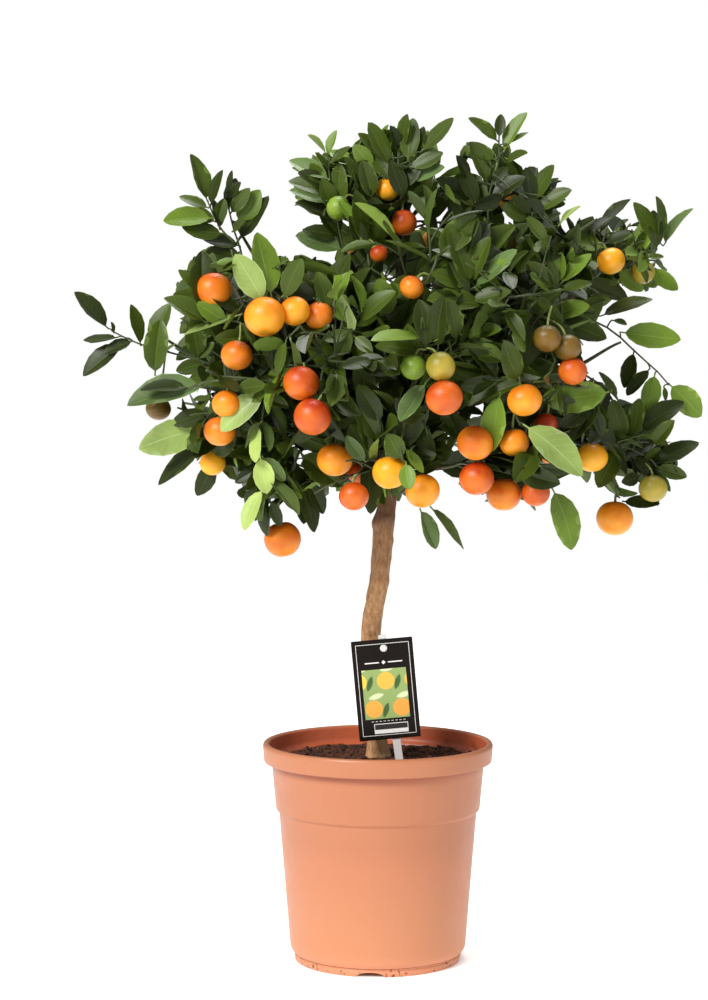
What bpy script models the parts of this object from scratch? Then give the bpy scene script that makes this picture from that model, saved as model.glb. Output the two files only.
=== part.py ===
# Calamondin orange tree, a small citrus standard in its round nursery pot.
# Metres, +Z up. The origin is the centre of the pot's underside and -Y is the front.
# The crown is a set of leafy masses. Each keeps to its own space, and hangs on one bough.

import math

import bmesh
import bpy
import numpy as np
from mathutils.bvhtree import BVHTree

# Driving dimensions

gap = 0.0003                # between pieces that touch
seed = 11

pot_sides = 36
rim_radius = 0.110          # a 22 cm pot
rim_top = 0.209
rim_band = 0.0175           # height of the thick band round the rim
step_low = 0.1430           # the wall steps in here, so that pots stack
step_high = 0.1455
foot_radius = 0.0796
foot_height = 0.0065
skirt_inner = 0.0762        # inside of the ring that the pot stands on
floor_under = 0.0050        # underside of the floor
floor_top = 0.0075
pad_radius = 0.020          # flat pad in the middle of the underside
notch_count = 4
notch_width = 0.027
notch_height = 0.0042
notch_turn = -0.095         # radians, first notch from straight ahead
drain_count = 6
drain_radius = 0.0045
drain_ring = 0.048

soil_rim = 0.1893           # height of the compost at the wall
soil_top = 0.1947           # and at the trunk
soil_flat = 0.016           # radius of the level patch under the trunk

trunk_sides = 10
# height, sideways and depth place, radius: flare, lean, knob under the crown, fork
trunk_rings = (
    (soil_top + gap, 0.0000, 0.0000, 0.0128),
    (0.2010, -0.0003, 0.0000, 0.0112),
    (0.2200, -0.0020, 0.0004, 0.0102),
    (0.2500, -0.0048, 0.0010, 0.0098),
    (0.2850, -0.0066, 0.0014, 0.0096),
    (0.3250, -0.0055, 0.0012, 0.0094),
    (0.3650, 0.0012, 0.0006, 0.0093),
    (0.4000, 0.0042, 0.0000, 0.0094),
    (0.4130, 0.0052, -0.0004, 0.0104),
    (0.4220, 0.0060, -0.0006, 0.0108),
    (0.4330, 0.0080, -0.0006, 0.0092),
    (0.4600, 0.0112, 0.0000, 0.0086),
    (0.4900, 0.0140, 0.0006, 0.0082),
    (0.5200, 0.0155, 0.0008, 0.0074),
    (0.5420, 0.0160, 0.0008, 0.0064),
)

card_width = 0.058
card_height = 0.095
card_thick = 0.0009
card_lean = 0.090           # radians, top to the left
card_middle = (0.0072, 0.2639)
stake_width = 0.0075
stake_thick = 0.0016
stake_front = -0.0318       # depth of the stake's front face
stake_foot = (0.0273, 0.1450)
stake_lean = 0.140
stake_length = 0.1720
peg_radius = 0.0030
peg_hole = 0.0034
peg_place = (0.0050, 0.3028)

bough_taper = 0.58          # tip radius over base radius
leader_radius = 0.0056
bough_radius = 0.0044
side_radius = 0.0030
stem_radius = 0.0021
shoot_radius = 0.0019
stalk_radius = 0.0014
limb_clear = 0.0012         # leaves keep this far from trunk and boughs
cell_clear = 0.0007         # and from the edge of their own space

shoots_per_mass = 3
leaves_per_twig = 5
leaf_length = 0.088         # larger than life, because there are fewer
leaf_width = 0.48           # of its length
leaf_thick = 0.022          # of its length
leaf_fold = 0.12            # how far the halves rise from the midrib, of its width
side_leans = (0.60, 0.95, 1.30)     # radians between leaf and twig
end_leans = (0.10, 0.50, 0.90)
leaf_turn = 0.65            # how far leaves differ in the way they face
leaf_swing = 0.22           # and in the way they point
leaf_sunk = 0.0004          # how far its root lies beyond the middle of the twig
shoot_reach = 0.46          # how far the shoots go, of the mass's reach; leaves do the rest
stalk_drop = 0.006
fruit_sides = 7
fruit_squash = 0.90         # height over width
half_ripe = 0.45            # ripeness at which the peel turns from green
crown_heart = np.array((0.010, 0.0, 0.590))

# Each mass has its middle, its reach along X, Y and Z, the limb that carries its bough, how
# far along that limb, how much its leaves lift or hang, and its fruit: place and diameter in
# millimetres, and ripeness from 0, green, to 1, deep orange.
masses = {
    "top_centre": dict(
        middle=(0.026, 0.000, 0.729), reach=(0.089, 0.102, 0.080), limb="trunk", at=1.0, lift=0.5,
        fruit=((8, -50, 731, 22, 0.6), (23, -62, 700, 24, 0.9))),
    "top_centre_left": dict(
        middle=(-0.049, -0.018, 0.714), reach=(0.079, 0.102, 0.076), limb="top_centre", at=0.42,
        lift=0.5, fruit=()),
    "top_right": dict(
        middle=(0.111, 0.005, 0.739), reach=(0.079, 0.108, 0.071), limb="top_centre", at=0.52,
        lift=0.6, fruit=()),
    "top_back": dict(
        middle=(0.019, 0.102, 0.718), reach=(0.112, 0.095, 0.079), limb="top_centre", at=0.62,
        lift=0.4, fruit=((0, 140, 690, 30, 0.8),)),
    "front_high": dict(
        middle=(0.026, -0.119, 0.661), reach=(0.089, 0.091, 0.074), limb="top_centre", at=0.30,
        lift=0.1, fruit=((28, -164, 640, 21, 0.8),)),
    "top_left": dict(
        middle=(-0.137, -0.019, 0.704), reach=(0.084, 0.108, 0.079), limb="trunk", at=0.905,
        lift=0.7, fruit=()),
    "left_front_high": dict(
        middle=(-0.113, -0.112, 0.631), reach=(0.079, 0.091, 0.076), limb="top_left", at=0.45,
        lift=0.0, fruit=((-148, -135, 637, 32, 0.8), (-102, -150, 613, 32, 0.6))),
    "left_back_high": dict(
        middle=(-0.140, 0.112, 0.637), reach=(0.099, 0.108, 0.086), limb="top_left", at=0.62,
        lift=0.2, fruit=((-120, 170, 628, 32, 0.7),)),
    "left_arm": dict(
        middle=(-0.208, -0.014, 0.597), reach=(0.086, 0.095, 0.070), limb="trunk", at=0.845,
        lift=0.2, fruit=()),
    "left_low": dict(
        middle=(-0.168, -0.033, 0.511), reach=(0.084, 0.108, 0.071), limb="left_arm", at=0.55,
        lift=-0.2, fruit=((-206, -30, 527, 23, 0.2), (-155, -86, 480, 23, 0.6))),
    "left_front": dict(
        middle=(-0.130, -0.112, 0.548), reach=(0.076, 0.089, 0.069), limb="left_arm", at=0.36,
        lift=-0.1,
        fruit=((-127, -148, 577, 28, 0.8), (-136, -160, 537, 25, 0.8), (-142, -140, 511, 28, 0.8))),
    "right_top": dict(
        middle=(0.231, 0.005, 0.675), reach=(0.079, 0.104, 0.069), limb="trunk", at=0.930,
        lift=0.6, fruit=((218, -20, 664, 26, 0.5), (250, 0, 655, 23, 0.3))),
    "upper_right": dict(
        middle=(0.151, -0.028, 0.685), reach=(0.071, 0.108, 0.066), limb="right_top", at=0.50,
        lift=0.4, fruit=()),
    "right_front_high": dict(
        middle=(0.112, -0.120, 0.636), reach=(0.079, 0.089, 0.071), limb="right_top", at=0.32,
        lift=0.0, fruit=()),
    "right_back_high": dict(
        middle=(0.149, 0.117, 0.646), reach=(0.099, 0.108, 0.089), limb="right_top", at=0.62,
        lift=0.2, fruit=((180, 160, 625, 31, 0.8), (125, 176, 650, 30, 0.5))),
    "right_arm": dict(
        middle=(0.230, 0.000, 0.590), reach=(0.084, 0.104, 0.064), limb="trunk", at=0.865,
        lift=0.1, fruit=()),
    "right_low": dict(
        middle=(0.214, -0.019, 0.490), reach=(0.097, 0.108, 0.081), limb="right_arm", at=0.50,
        lift=-0.3, fruit=((200, -30, 482, 29, 0.6), (259, -20, 455, 26, 0.4), (221, -40, 432, 34, 0.8))),
    "right_front": dict(
        middle=(0.138, -0.131, 0.571), reach=(0.079, 0.084, 0.071), limb="right_arm", at=0.34,
        lift=-0.1, fruit=((127, -172, 541, 30, 0.8), (141, -170, 594, 25, 0.3), (166, -160, 588, 24, 0.4),
                          (172, -158, 565, 25, 0.9))),
    "front": dict(
        middle=(0.034, -0.177, 0.571), reach=(0.076, 0.079, 0.076), limb="trunk", at=0.900,
        lift=-0.2, fruit=((52, -218, 572, 25, 0.3), (55, -222, 543, 31, 1.0))),
    "left_middle_front": dict(
        middle=(-0.053, -0.158, 0.581), reach=(0.076, 0.084, 0.084), limb="front", at=0.45,
        lift=-0.1, fruit=((-76, -176, 618, 26, 0.6), (-50, -160, 614, 25, 0.7), (-70, -190, 556, 31, 1.0),
                          (-56, -205, 528, 32, 1.0))),
    "low_front": dict(
        middle=(-0.016, -0.125, 0.488), reach=(0.079, 0.099, 0.079), limb="trunk", at=0.790,
        lift=-0.5, fruit=((-40, -152, 486, 31, 0.8), (-20, -178, 455, 26, 0.9),
                          (9, -166, 477, 31, 0.6))),
    "left_pendant": dict(
        middle=(-0.095, -0.073, 0.455), reach=(0.076, 0.086, 0.076), limb="low_front", at=0.34,
        lift=-0.8, fruit=((-88, -98, 411, 33, 0.8),)),
    "low_right_front": dict(
        middle=(0.092, -0.121, 0.486), reach=(0.089, 0.108, 0.097), limb="trunk", at=0.820,
        lift=-0.5, fruit=((46, -160, 459, 30, 0.6), (82, -174, 502, 32, 0.8), (119, -140, 503, 26, 0.7),
                          (84, -158, 468, 30, 0.9), (115, -128, 454, 31, 0.8), (142, -150, 465, 25, 0.9))),
    "back": dict(
        middle=(0.001, 0.182, 0.627), reach=(0.102, 0.099, 0.089), limb="trunk", at=0.885,
        lift=0.1, fruit=((-20, 240, 610, 31, 0.8),)),
    "low_back": dict(
        middle=(0.012, 0.154, 0.506), reach=(0.091, 0.108, 0.081), limb="back", at=0.34,
        lift=-0.4, fruit=((0, 200, 470, 32, 0.8),)),
    "low_left_back": dict(
        middle=(-0.121, 0.098, 0.515), reach=(0.097, 0.108, 0.079), limb="trunk", at=0.805,
        lift=-0.3, fruit=((-150, 140, 480, 30, 0.8),)),
    "low_right_back": dict(
        middle=(0.139, 0.098, 0.520), reach=(0.099, 0.108, 0.081), limb="trunk", at=0.835,
        lift=-0.3, fruit=((170, 140, 480, 32, 0.8),)),
}

names = list(masses)
middles = np.array([masses[name]["middle"] for name in names])
reaches = np.array([masses[name]["reach"] for name in names])
spreads = reaches.mean(axis=1)


# Materials

def make_material(name, colour, roughness):
    """A plain dielectric with one colour."""
    material = bpy.data.materials.new(name)
    material.use_nodes = True
    shader = material.node_tree.nodes["Principled BSDF"]
    shader.inputs["Base Color"].default_value = (*colour, 1.0)
    shader.inputs["Roughness"].default_value = roughness
    shader.inputs["Metallic"].default_value = 0.0
    material.diffuse_color = (*colour, 1.0)
    return material


# Mesh helpers

def make_mesh(name, shape, material):
    """A mesh from points and faces, facing out."""
    points, faces = shape
    mesh = bpy.data.meshes.new(name)
    mesh.from_pydata([tuple(point) for point in points], [], faces)
    mesh.materials.append(material)
    work = bmesh.new()
    work.from_mesh(mesh)
    bmesh.ops.recalc_face_normals(work, faces=work.faces)
    work.to_mesh(mesh)
    work.free()
    return mesh


def make_object(name, shape, material, collection=None):
    mesh = make_mesh(name, shape, material)
    made = bpy.data.objects.new(name, mesh)
    (collection or bpy.context.scene.collection).objects.link(made)
    return made


def make_cutter(name, shape, material):
    made = make_object(name, shape, material)
    made.hide_render = True
    made.display_type = "WIRE"
    return made


def cut(target, cutter):
    """The target loses the shape of the cutter."""
    modifier = target.modifiers.new("cut " + cutter.name, "BOOLEAN")
    modifier.operation = "DIFFERENCE"
    modifier.solver = "EXACT"
    modifier.object = cutter


def join_shapes(shapes):
    """Several shapes as one list of points and one of faces."""
    points = []
    faces = []
    for some_points, some_faces in shapes:
        start = len(points)
        points.extend(some_points)
        faces.extend([tuple(start + corner for corner in face) for face in some_faces])
    return points, faces


def lathe(profile, sides):
    """A profile of (radius, height) pairs turned round Z. Radius 0 makes a pole."""
    points = []
    rings = []
    for radius, height in profile:
        if radius == 0.0:
            rings.append([len(points)])
            points.append((0.0, 0.0, height))
            continue
        rings.append(list(range(len(points), len(points) + sides)))
        for side in range(sides):
            angle = 2.0 * math.pi * side / sides
            points.append((radius * math.cos(angle), radius * math.sin(angle), height))
    faces = []
    pairs = list(zip(rings, rings[1:]))
    if len(rings[0]) > 1:
        pairs.append((rings[-1], rings[0]))
    for low, high in pairs:
        for side in range(sides):
            after = (side + 1) % sides
            if len(low) == 1 and len(high) == 1:
                continue
            if len(low) == 1:
                faces.append((low[0], high[side], high[after]))
            elif len(high) == 1:
                faces.append((low[side], low[after], high[0]))
            else:
                faces.append((low[side], low[after], high[after], high[side]))
    return points, faces


def unit(vector):
    return vector / np.linalg.norm(vector)


def bezier(ends, count):
    """Points along a Bezier curve of any degree, from its control points."""
    ends = np.array(ends)
    degree = len(ends) - 1
    t = np.linspace(0.0, 1.0, count)[:, None]
    total = np.zeros((count, 3))
    for place, end in enumerate(ends):
        weight = math.comb(degree, place) * t ** place * (1.0 - t) ** (degree - place)
        total += weight * end
    return total


def tangents(path):
    steps = np.gradient(path, axis=0)
    return steps / np.linalg.norm(steps, axis=1)[:, None]


def sweep(path, radii, sides, base=None):
    """A closed tube along a path, whose sides don't twist. Its ends are flat: base gives the
    plane of the first, as a point and a normal, which else stands square to the path."""
    along = tangents(path)
    if base is not None:
        along[0] = unit(path[1] - path[0])
    side_way = unit(np.cross(along[0], (0.31, 0.83, 0.46)))
    points = []
    for place, (middle, radius) in enumerate(zip(path, radii)):
        side_way = unit(side_way - along[place] * side_way.dot(along[place]))
        other_way = np.cross(along[place], side_way)
        for side in range(sides):
            angle = 2.0 * math.pi * side / sides
            point = middle + radius * (math.cos(angle) * side_way + math.sin(angle) * other_way)
            if place == 0 and base is not None:
                spot, normal = base
                point = point + along[0] * (spot - point).dot(normal) / along[0].dot(normal)
            points.append(point)
    faces = [tuple(range(sides - 1, -1, -1))]
    for ring in range(len(path) - 1):
        for side in range(sides):
            after = (side + 1) % sides
            low = ring * sides
            high = low + sides
            faces.append((low + side, low + after, high + after, high + side))
    faces.append(tuple(range(len(points) - sides, len(points))))
    return points, faces


def box_shape(low, high):
    points = [(x, y, z) for x in (low[0], high[0]) for y in (low[1], high[1]) for z in (low[2], high[2])]
    faces = [(0, 1, 3, 2), (4, 6, 7, 5), (0, 4, 5, 1), (2, 3, 7, 6), (0, 2, 6, 4), (1, 5, 7, 3)]
    return points, faces


def plate_shape(outline, back, front):
    """An outline of (x, z) pairs given thickness along Y."""
    count = len(outline)
    points = [(x, back, z) for x, z in outline] + [(x, front, z) for x, z in outline]
    faces = [tuple(range(count)), tuple(range(2 * count - 1, count - 1, -1))]
    for corner in range(count):
        after = (corner + 1) % count
        faces.append((corner, count + corner, count + after, after))
    return points, faces


# Pot

def pot_profile():
    """Outer side from the rim down, the ring it stands on, the underside, and the inside."""
    return [
        (rim_radius - 0.0026, rim_top),
        (rim_radius, rim_top - 0.0026),
        (rim_radius - 0.0012, rim_top - rim_band),
        (0.1016, rim_top - rim_band - 0.0008),
        (0.0974, step_high),
        (0.0945, step_low),
        (0.0839, 0.0120),
        (foot_radius + 0.0004, foot_height),
        (foot_radius, 0.0),
        (skirt_inner, 0.0),
        (skirt_inner, floor_under),
        (pad_radius + 0.0010, floor_under),
        (pad_radius, 0.0),
        (0.0, 0.0),
    ], [
        (0.0, floor_top),
        (0.0812, floor_top),
        (0.0923, step_low),
        (0.0952, step_high),
        (0.0996, 0.1905),
        (0.1034, 0.1945),
        (0.1034, rim_top - 0.0022),
        (0.1052, rim_top),
    ]


def turned(angle, points):
    """Points drawn facing -Y, carried round the pot's axis."""
    cos = math.cos(angle)
    sin = math.sin(angle)
    return [(x * cos - y * sin, x * sin + y * cos, z) for x, y, z in points]


def make_pot(material):
    outer, inner = pot_profile()
    pot = make_object("pot", lathe(outer + inner, pot_sides), material)
    notch_steps = 5
    notches = []
    for number in range(notch_count):
        angle = notch_turn + 2.0 * math.pi * number / notch_count
        arch = [(-0.5 * notch_width, -0.002)]
        for step in range(notch_steps + 1):
            part = math.pi * (1.0 - step / notch_steps)
            arch.append((0.5 * notch_width * math.cos(part), notch_height * math.sin(part) + 0.0002))
        arch.append((0.5 * notch_width, -0.002))
        points, faces = plate_shape(arch, -0.0720, -0.0840)
        notches.append((turned(angle, points), faces))
    cut(pot, make_cutter("pot_notches", join_shapes(notches), material))
    holes = []
    for number in range(drain_count):
        angle = notch_turn + 2.0 * math.pi * (number + 0.5) / drain_count
        middle = np.array((drain_ring * math.sin(angle), -drain_ring * math.cos(angle), 0.0))
        path = middle + np.array([(0.0, 0.0, floor_under - 0.002), (0.0, 0.0, floor_top + 0.002)])
        holes.append(sweep(path, (drain_radius, drain_radius), 8))
    cut(pot, make_cutter("pot_drains", join_shapes(holes), material))
    return pot


def make_soil(material):
    """The compost fills the pot to 2 cm under its rim, and rises a little to the trunk."""
    inner = pot_profile()[1]
    profile = [(0.0, floor_top + gap)]
    for radius, height in inner[1:4]:
        profile.append((radius - gap, height + (gap if height == floor_top else 0.0)))
    profile.append((0.0990, soil_rim - 0.0015))
    profile.append((0.0970, soil_rim))
    profile.append((0.036, soil_rim + 0.0034))
    profile.append((soil_flat, soil_top))
    profile.append((0.0, soil_top))
    soil = make_object("soil", lathe(profile, pot_sides), material)
    room = 0.5 * stake_width + gap
    back = stake_front + stake_thick + gap
    slot = box_shape((-room, stake_front - gap, -gap), (room, back, stake_length))
    cut(soil, make_cutter("stake_slot", leaned(slot, stake_foot, stake_lean), material))
    return soil


# Plant label

def leaned(shape, foot, lean):
    """A shape drawn upright at the origin, leaned to the left and stood on its foot."""
    points, faces = shape
    cos = math.cos(lean)
    sin = math.sin(lean)
    return [(foot[0] + x * cos - z * sin, y, foot[1] + x * sin + z * cos) for x, y, z in points], faces


def rounded_outline(width, height, corner, steps):
    outline = []
    for quarter in range(4):
        across = (1, -1, -1, 1)[quarter] * (0.5 * width - corner)
        up = (1, 1, -1, -1)[quarter] * (0.5 * height - corner)
        for step in range(steps + 1):
            angle = 0.5 * math.pi * (quarter + step / steps)
            outline.append((across + corner * math.cos(angle), up + corner * math.sin(angle)))
    return outline


def make_label(card_material, stake_material):
    back = stake_front - gap
    outline = rounded_outline(card_width, card_height, 0.0010, 1)
    card_shape = leaned(plate_shape(outline, back, back - card_thick), card_middle, card_lean)
    card = make_object("label_card", card_shape, card_material)
    hole_path = np.array([(peg_place[0], back + 0.001, peg_place[1]),
                          (peg_place[0], back - card_thick - 0.001, peg_place[1])])
    hole = sweep(hole_path, (peg_hole, peg_hole), 12)
    cut(card, make_cutter("peg_hole", hole, card_material))

    half = 0.5 * stake_width
    strip = [(-half, 0.0), (half, 0.0), (half, stake_length - 0.002), (half - 0.002, stake_length),
             (-half + 0.002, stake_length), (-half, stake_length - 0.002)]
    strip_shape = leaned(plate_shape(strip, stake_front + stake_thick, stake_front), stake_foot, stake_lean)
    stake = make_object("label_stake", strip_shape, stake_material)
    peg_path = np.array([(peg_place[0], stake_front + 0.5 * stake_thick, peg_place[1]),
                         (peg_place[0], back - card_thick - 0.0012, peg_place[1])])
    group = bpy.data.collections.new("stake parts")
    bpy.context.scene.collection.children.link(group)
    make_object("peg", sweep(peg_path, (peg_radius, peg_radius), 12), stake_material, group)
    fuse(stake, group)
    return card, stake


# Trunk and boughs

limbs = {}


def add_limb(name, path, radii, sides, base=None):
    """Keeps a limb's line, its size, and a slightly fatter skin that leaves stay out of."""
    guard_points, guard_faces = sweep(path, np.array(radii) + limb_clear, sides, base)
    guard = BVHTree.FromPolygons([tuple(point) for point in guard_points], guard_faces)
    limbs[name] = dict(path=path, radii=radii, sides=sides, guard=guard)
    return sweep(path, radii, sides, base)


def along_limb(name, part):
    """Place, direction and radius at a part of a limb's length."""
    limb = limbs[name]
    path = limb["path"]
    lengths = np.concatenate(([0.0], np.cumsum(np.linalg.norm(np.diff(path, axis=0), axis=1))))
    wanted = part * lengths[-1]
    place = np.array([np.interp(wanted, lengths, path[:, axis]) for axis in range(3)])
    ways = tangents(path)
    way = unit(np.array([np.interp(wanted, lengths, ways[:, axis]) for axis in range(3)]))
    return place, way, np.interp(wanted, lengths, limb["radii"])


def make_trunk(material):
    rings = np.array(trunk_rings)
    path = rings[:, (1, 2, 0)]
    level = (path[0], np.array((0.0, 0.0, 1.0)))
    return make_object("trunk", add_limb("trunk", path, rings[:, 3], trunk_sides, level), material)


def make_bough(name, material):
    """A tapering limb that leaves its parent's side, or the trunk's flat top, and ends where
    the mass begins. Its foot is cut parallel to the parent's side, just clear of it."""
    mass = masses[name]
    middle = np.array(mass["middle"])
    place, way, girth = along_limb(mass["limb"], mass["at"])
    out = unit(middle - place)
    if mass["at"] == 1.0:
        first = way
        normal = way
        start = place + way * gap
        radius = leader_radius
    else:
        rise = 0.45 if mass["limb"] == "trunk" else 0.25
        first = unit(out + way * rise)
        normal = unit(first - way * first.dot(way))
        start = place + normal * (girth + gap)
        radius = bough_radius if mass["limb"] == "trunk" else side_radius
    radius = min(radius, 0.82 * girth)
    back = unit((place - middle) / np.array(mass["reach"]) + (0.0, 0.0, -0.35 - 0.3 * mass["lift"]))
    end = middle + back * np.array(mass["reach"]) * 0.62
    last = unit(middle - end + 0.35 * out * np.linalg.norm(middle - end))
    hold = np.linalg.norm(end - start)
    path = bezier((start, start + first * hold * 0.36, end - last * hold * 0.30, end),
                  7 if mass["limb"] == "trunk" else 5)
    radii = np.linspace(radius, max(radius * bough_taper, stem_radius * 1.08), len(path))
    sides = 7 if mass["limb"] == "trunk" else 6
    shape = add_limb(name, path, radii, sides, (start, normal))
    return make_object("bough_" + name, shape, material)


# Masses of leaves

def own_space(points, number):
    """How far points lie inside the space of a mass: its distance to each neighbour's space,
    where the border between two masses is the plane on which both are equally near, each
    measured from its middle and less its own size."""
    from_middles = ((points[:, None, :] - middles[None]) ** 2).sum(axis=2) - spreads[None] ** 2
    apart = np.linalg.norm(middles - middles[number], axis=1)
    apart[number] = 1.0
    inside = (from_middles - from_middles[:, number:number + 1]) / (2.0 * apart[None])
    inside[:, number] = 1.0
    return inside.min()


def fits(points, number, part=1.0):
    points = np.array(points)
    beyond = (((points - middles[number]) / (reaches[number] * part)) ** 2).sum(axis=1).max()
    return beyond <= 1.0 and own_space(points, number) >= cell_clear


def kept_inside(spot, half, number):
    """The middle of a fruit, slid just so far that the ball keeps to its mass's space."""
    for _ in range(3):
        for other in range(len(names)):
            if other == number:
                continue
            apart = middles[other] - middles[number]
            distance = np.linalg.norm(apart)
            to_other = ((spot - middles[other]) ** 2).sum() - spreads[other] ** 2
            to_own = ((spot - middles[number]) ** 2).sum() - spreads[number] ** 2
            short = half + 2.0 * cell_clear - (to_other - to_own) / (2.0 * distance)
            if short > 0.0:
                spot = spot - apart / distance * short
    return spot


def touches_limb(tree):
    return any(limb["guard"].overlap(tree) for limb in limbs.values())


def tree_of(shape):
    points, faces = shape
    return BVHTree.FromPolygons([tuple(point) for point in points], faces)


def shoot_ways(pole, count, rng):
    """Directions spread evenly round a pole, most of them to its front. The pattern of two
    irrational steps stays even for any count."""
    side_way = unit(np.cross(pole, (0.2, 0.9, 0.4)))
    other_way = np.cross(pole, side_way)
    ways = []
    for number in range(count):
        rise = 1.0 - 1.30 * ((0.10 + number * 0.7548777) % 1.0)
        angle = 2.0 * math.pi * ((0.5 + number * 0.5698403) % 1.0) + rng.uniform(-0.35, 0.35)
        flat = math.sqrt(max(0.0, 1.0 - rise * rise))
        ways.append(pole * rise + flat * (math.cos(angle) * side_way + math.sin(angle) * other_way))
    return ways


def leaf_shape(root, way, face, length):
    """A folded lens of eight faces: root, tip, both edges, and the midrib above and below."""
    across = unit(np.cross(way, face))
    up = np.cross(across, way)
    wide = 0.5 * leaf_width * length
    thick = 0.5 * leaf_thick * length
    widest = root + way * length * 0.46
    fold = up * wide * 2.0 * leaf_fold
    points = [root, widest + across * wide + fold, widest + up * thick, widest - across * wide + fold,
              widest - up * thick, root + way * length - up * length * 0.05]
    faces = [(0, 1, 2), (0, 2, 3), (0, 3, 4), (0, 4, 1), (5, 2, 1), (5, 3, 2), (5, 4, 3), (5, 1, 4)]
    return points, faces


def fruit_shape(root, middle, diameter):
    """A slightly flattened ball and the three-sided stalk that it hangs on, in one skin: rings
    down the stalk, then rings down the ball to its foot. The ball's axis leans to its root."""
    half = 0.5 * diameter * fruit_squash
    axis = unit(unit(root - middle) + (0.0, 0.0, 0.6))
    stalk = bezier((root, middle + axis * (half + stalk_drop), middle + axis * 0.94 * half), 3)
    ways = tangents(stalk)
    ways[-1] = -axis
    first = unit(np.cross(axis, (0.35, 0.80, 0.48)))
    second = np.cross(first, -axis)
    across = first
    rings = []
    for place in (2, 1, 0):
        across = unit(across - ways[place] * across.dot(ways[place]))
        other = np.cross(across, ways[place])
        rings.insert(0, [stalk[place] + stalk_radius * (math.cos(angle) * across + math.sin(angle) * other)
                         for angle in (0.0, 2.0 * math.pi / 3.0, 4.0 * math.pi / 3.0)])
    for rise in (0.25, 0.0, -0.25):
        flat = 0.5 * diameter * math.cos(math.pi * rise)
        level = middle + axis * half * math.sin(math.pi * rise)
        rings.append([level + flat * (math.cos(2.0 * math.pi * side / fruit_sides) * first
                                      + math.sin(2.0 * math.pi * side / fruit_sides) * second)
                      for side in range(fruit_sides)])
    points = [point for ring in rings for point in ring] + [middle - axis * half]
    faces = [(0, 1, 2)]
    for low in (0, 3):
        for side in range(3):
            after = (side + 1) % 3
            faces.append((low + side, low + after, low + 3 + after, low + 3 + side))
    for side in range(fruit_sides):
        after = (side + 1) % fruit_sides
        near = round(3.0 * side / fruit_sides) % 3
        next_near = round(3.0 * after / fruit_sides) % 3
        faces.append((9 + side, 9 + after, 6 + near))
        if near != next_near:
            faces.append((6 + near, 9 + after, 6 + next_near))
        for low in (9, 9 + fruit_sides):
            faces.append((low + side, low + after, low + fruit_sides + after, low + fruit_sides + side))
        low = 9 + 2 * fruit_sides
        faces.append((low + side, low + after, len(points) - 1))
    return points, faces


def grow_shoot(number, root, way, rng, balls):
    """A twig that curves up a little on its way from the stem. It goes round fruit: where one
    is in its way, it starts off another way."""
    for trial in range(8):
        tip = middles[number] + way * reaches[number] * shoot_reach
        length = np.linalg.norm(tip - root)
        bend = root + 0.5 * (tip - root) + np.array((0.0, 0.0, 0.10 * length))
        path = bezier((root, bend, tip), 3)
        shape = sweep(path, np.linspace(shoot_radius, 0.75 * shoot_radius, 3), 3)
        tree = tree_of(shape)
        blocked = any(ball.overlap(tree) for ball in balls)
        if fits(shape[0], number) and not blocked and not touches_limb(tree):
            return path, shape, tree
        way = unit(way + rng.uniform(-0.7, 0.7, 3))
    return None


def grow_leaf(number, root, along, corners, rng, last, parts):
    """A leaf that leaves through the middle of one side of its three-sided twig. Of the ways it
    can point that stay in the mass's space and touch nothing, it takes the one that lies
    furthest from the other leaves. Where there is none, it is tried smaller."""
    size = leaf_length * rng.uniform(0.88, 1.10)
    turn = leaf_turn * rng.uniform(-1.0, 1.0, 3)
    swing = leaf_swing * rng.uniform(-1.0, 1.0, 3)
    lift = masses[names[number]]["lift"]
    face_way = unit(middles[number] - crown_heart) + (0.0, 0.0, 0.5) + turn
    others = np.array([spot for kind, shape, _ in parts if kind == "leaf" for spot in shape[0][2:6:3]]
                      + [root + (0.0, 0.0, 1.0)])
    for shrink in (1.0, 0.88, 0.76, 0.64):
        best = None
        for lean in end_leans if last else side_leans:
            for side in range(3):
                around = unit(corners[side] + corners[(side + 1) % 3] - 2.0 * corners.mean(axis=0))
                way = unit(math.cos(lean) * along + math.sin(lean) * around
                           + (0.0, 0.0, 0.25 * lift) + swing)
                face = unit(face_way - way * face_way.dot(way))
                shape = leaf_shape(root - way * leaf_sunk, way, face, size * shrink)
                if not fits(shape[0], number):
                    continue
                ends = np.array(shape[0][2:6:3])
                room = np.linalg.norm(others[:, None] - ends[None], axis=2).min()
                if best and best[0] >= room:
                    continue
                tree = tree_of(shape)
                own = any(other.overlap(tree) for kind, _, other in parts if kind != "twig")
                if not own and not touches_limb(tree):
                    best = (room, shape, tree)
        if best:
            return best[1:]
    return None


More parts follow.
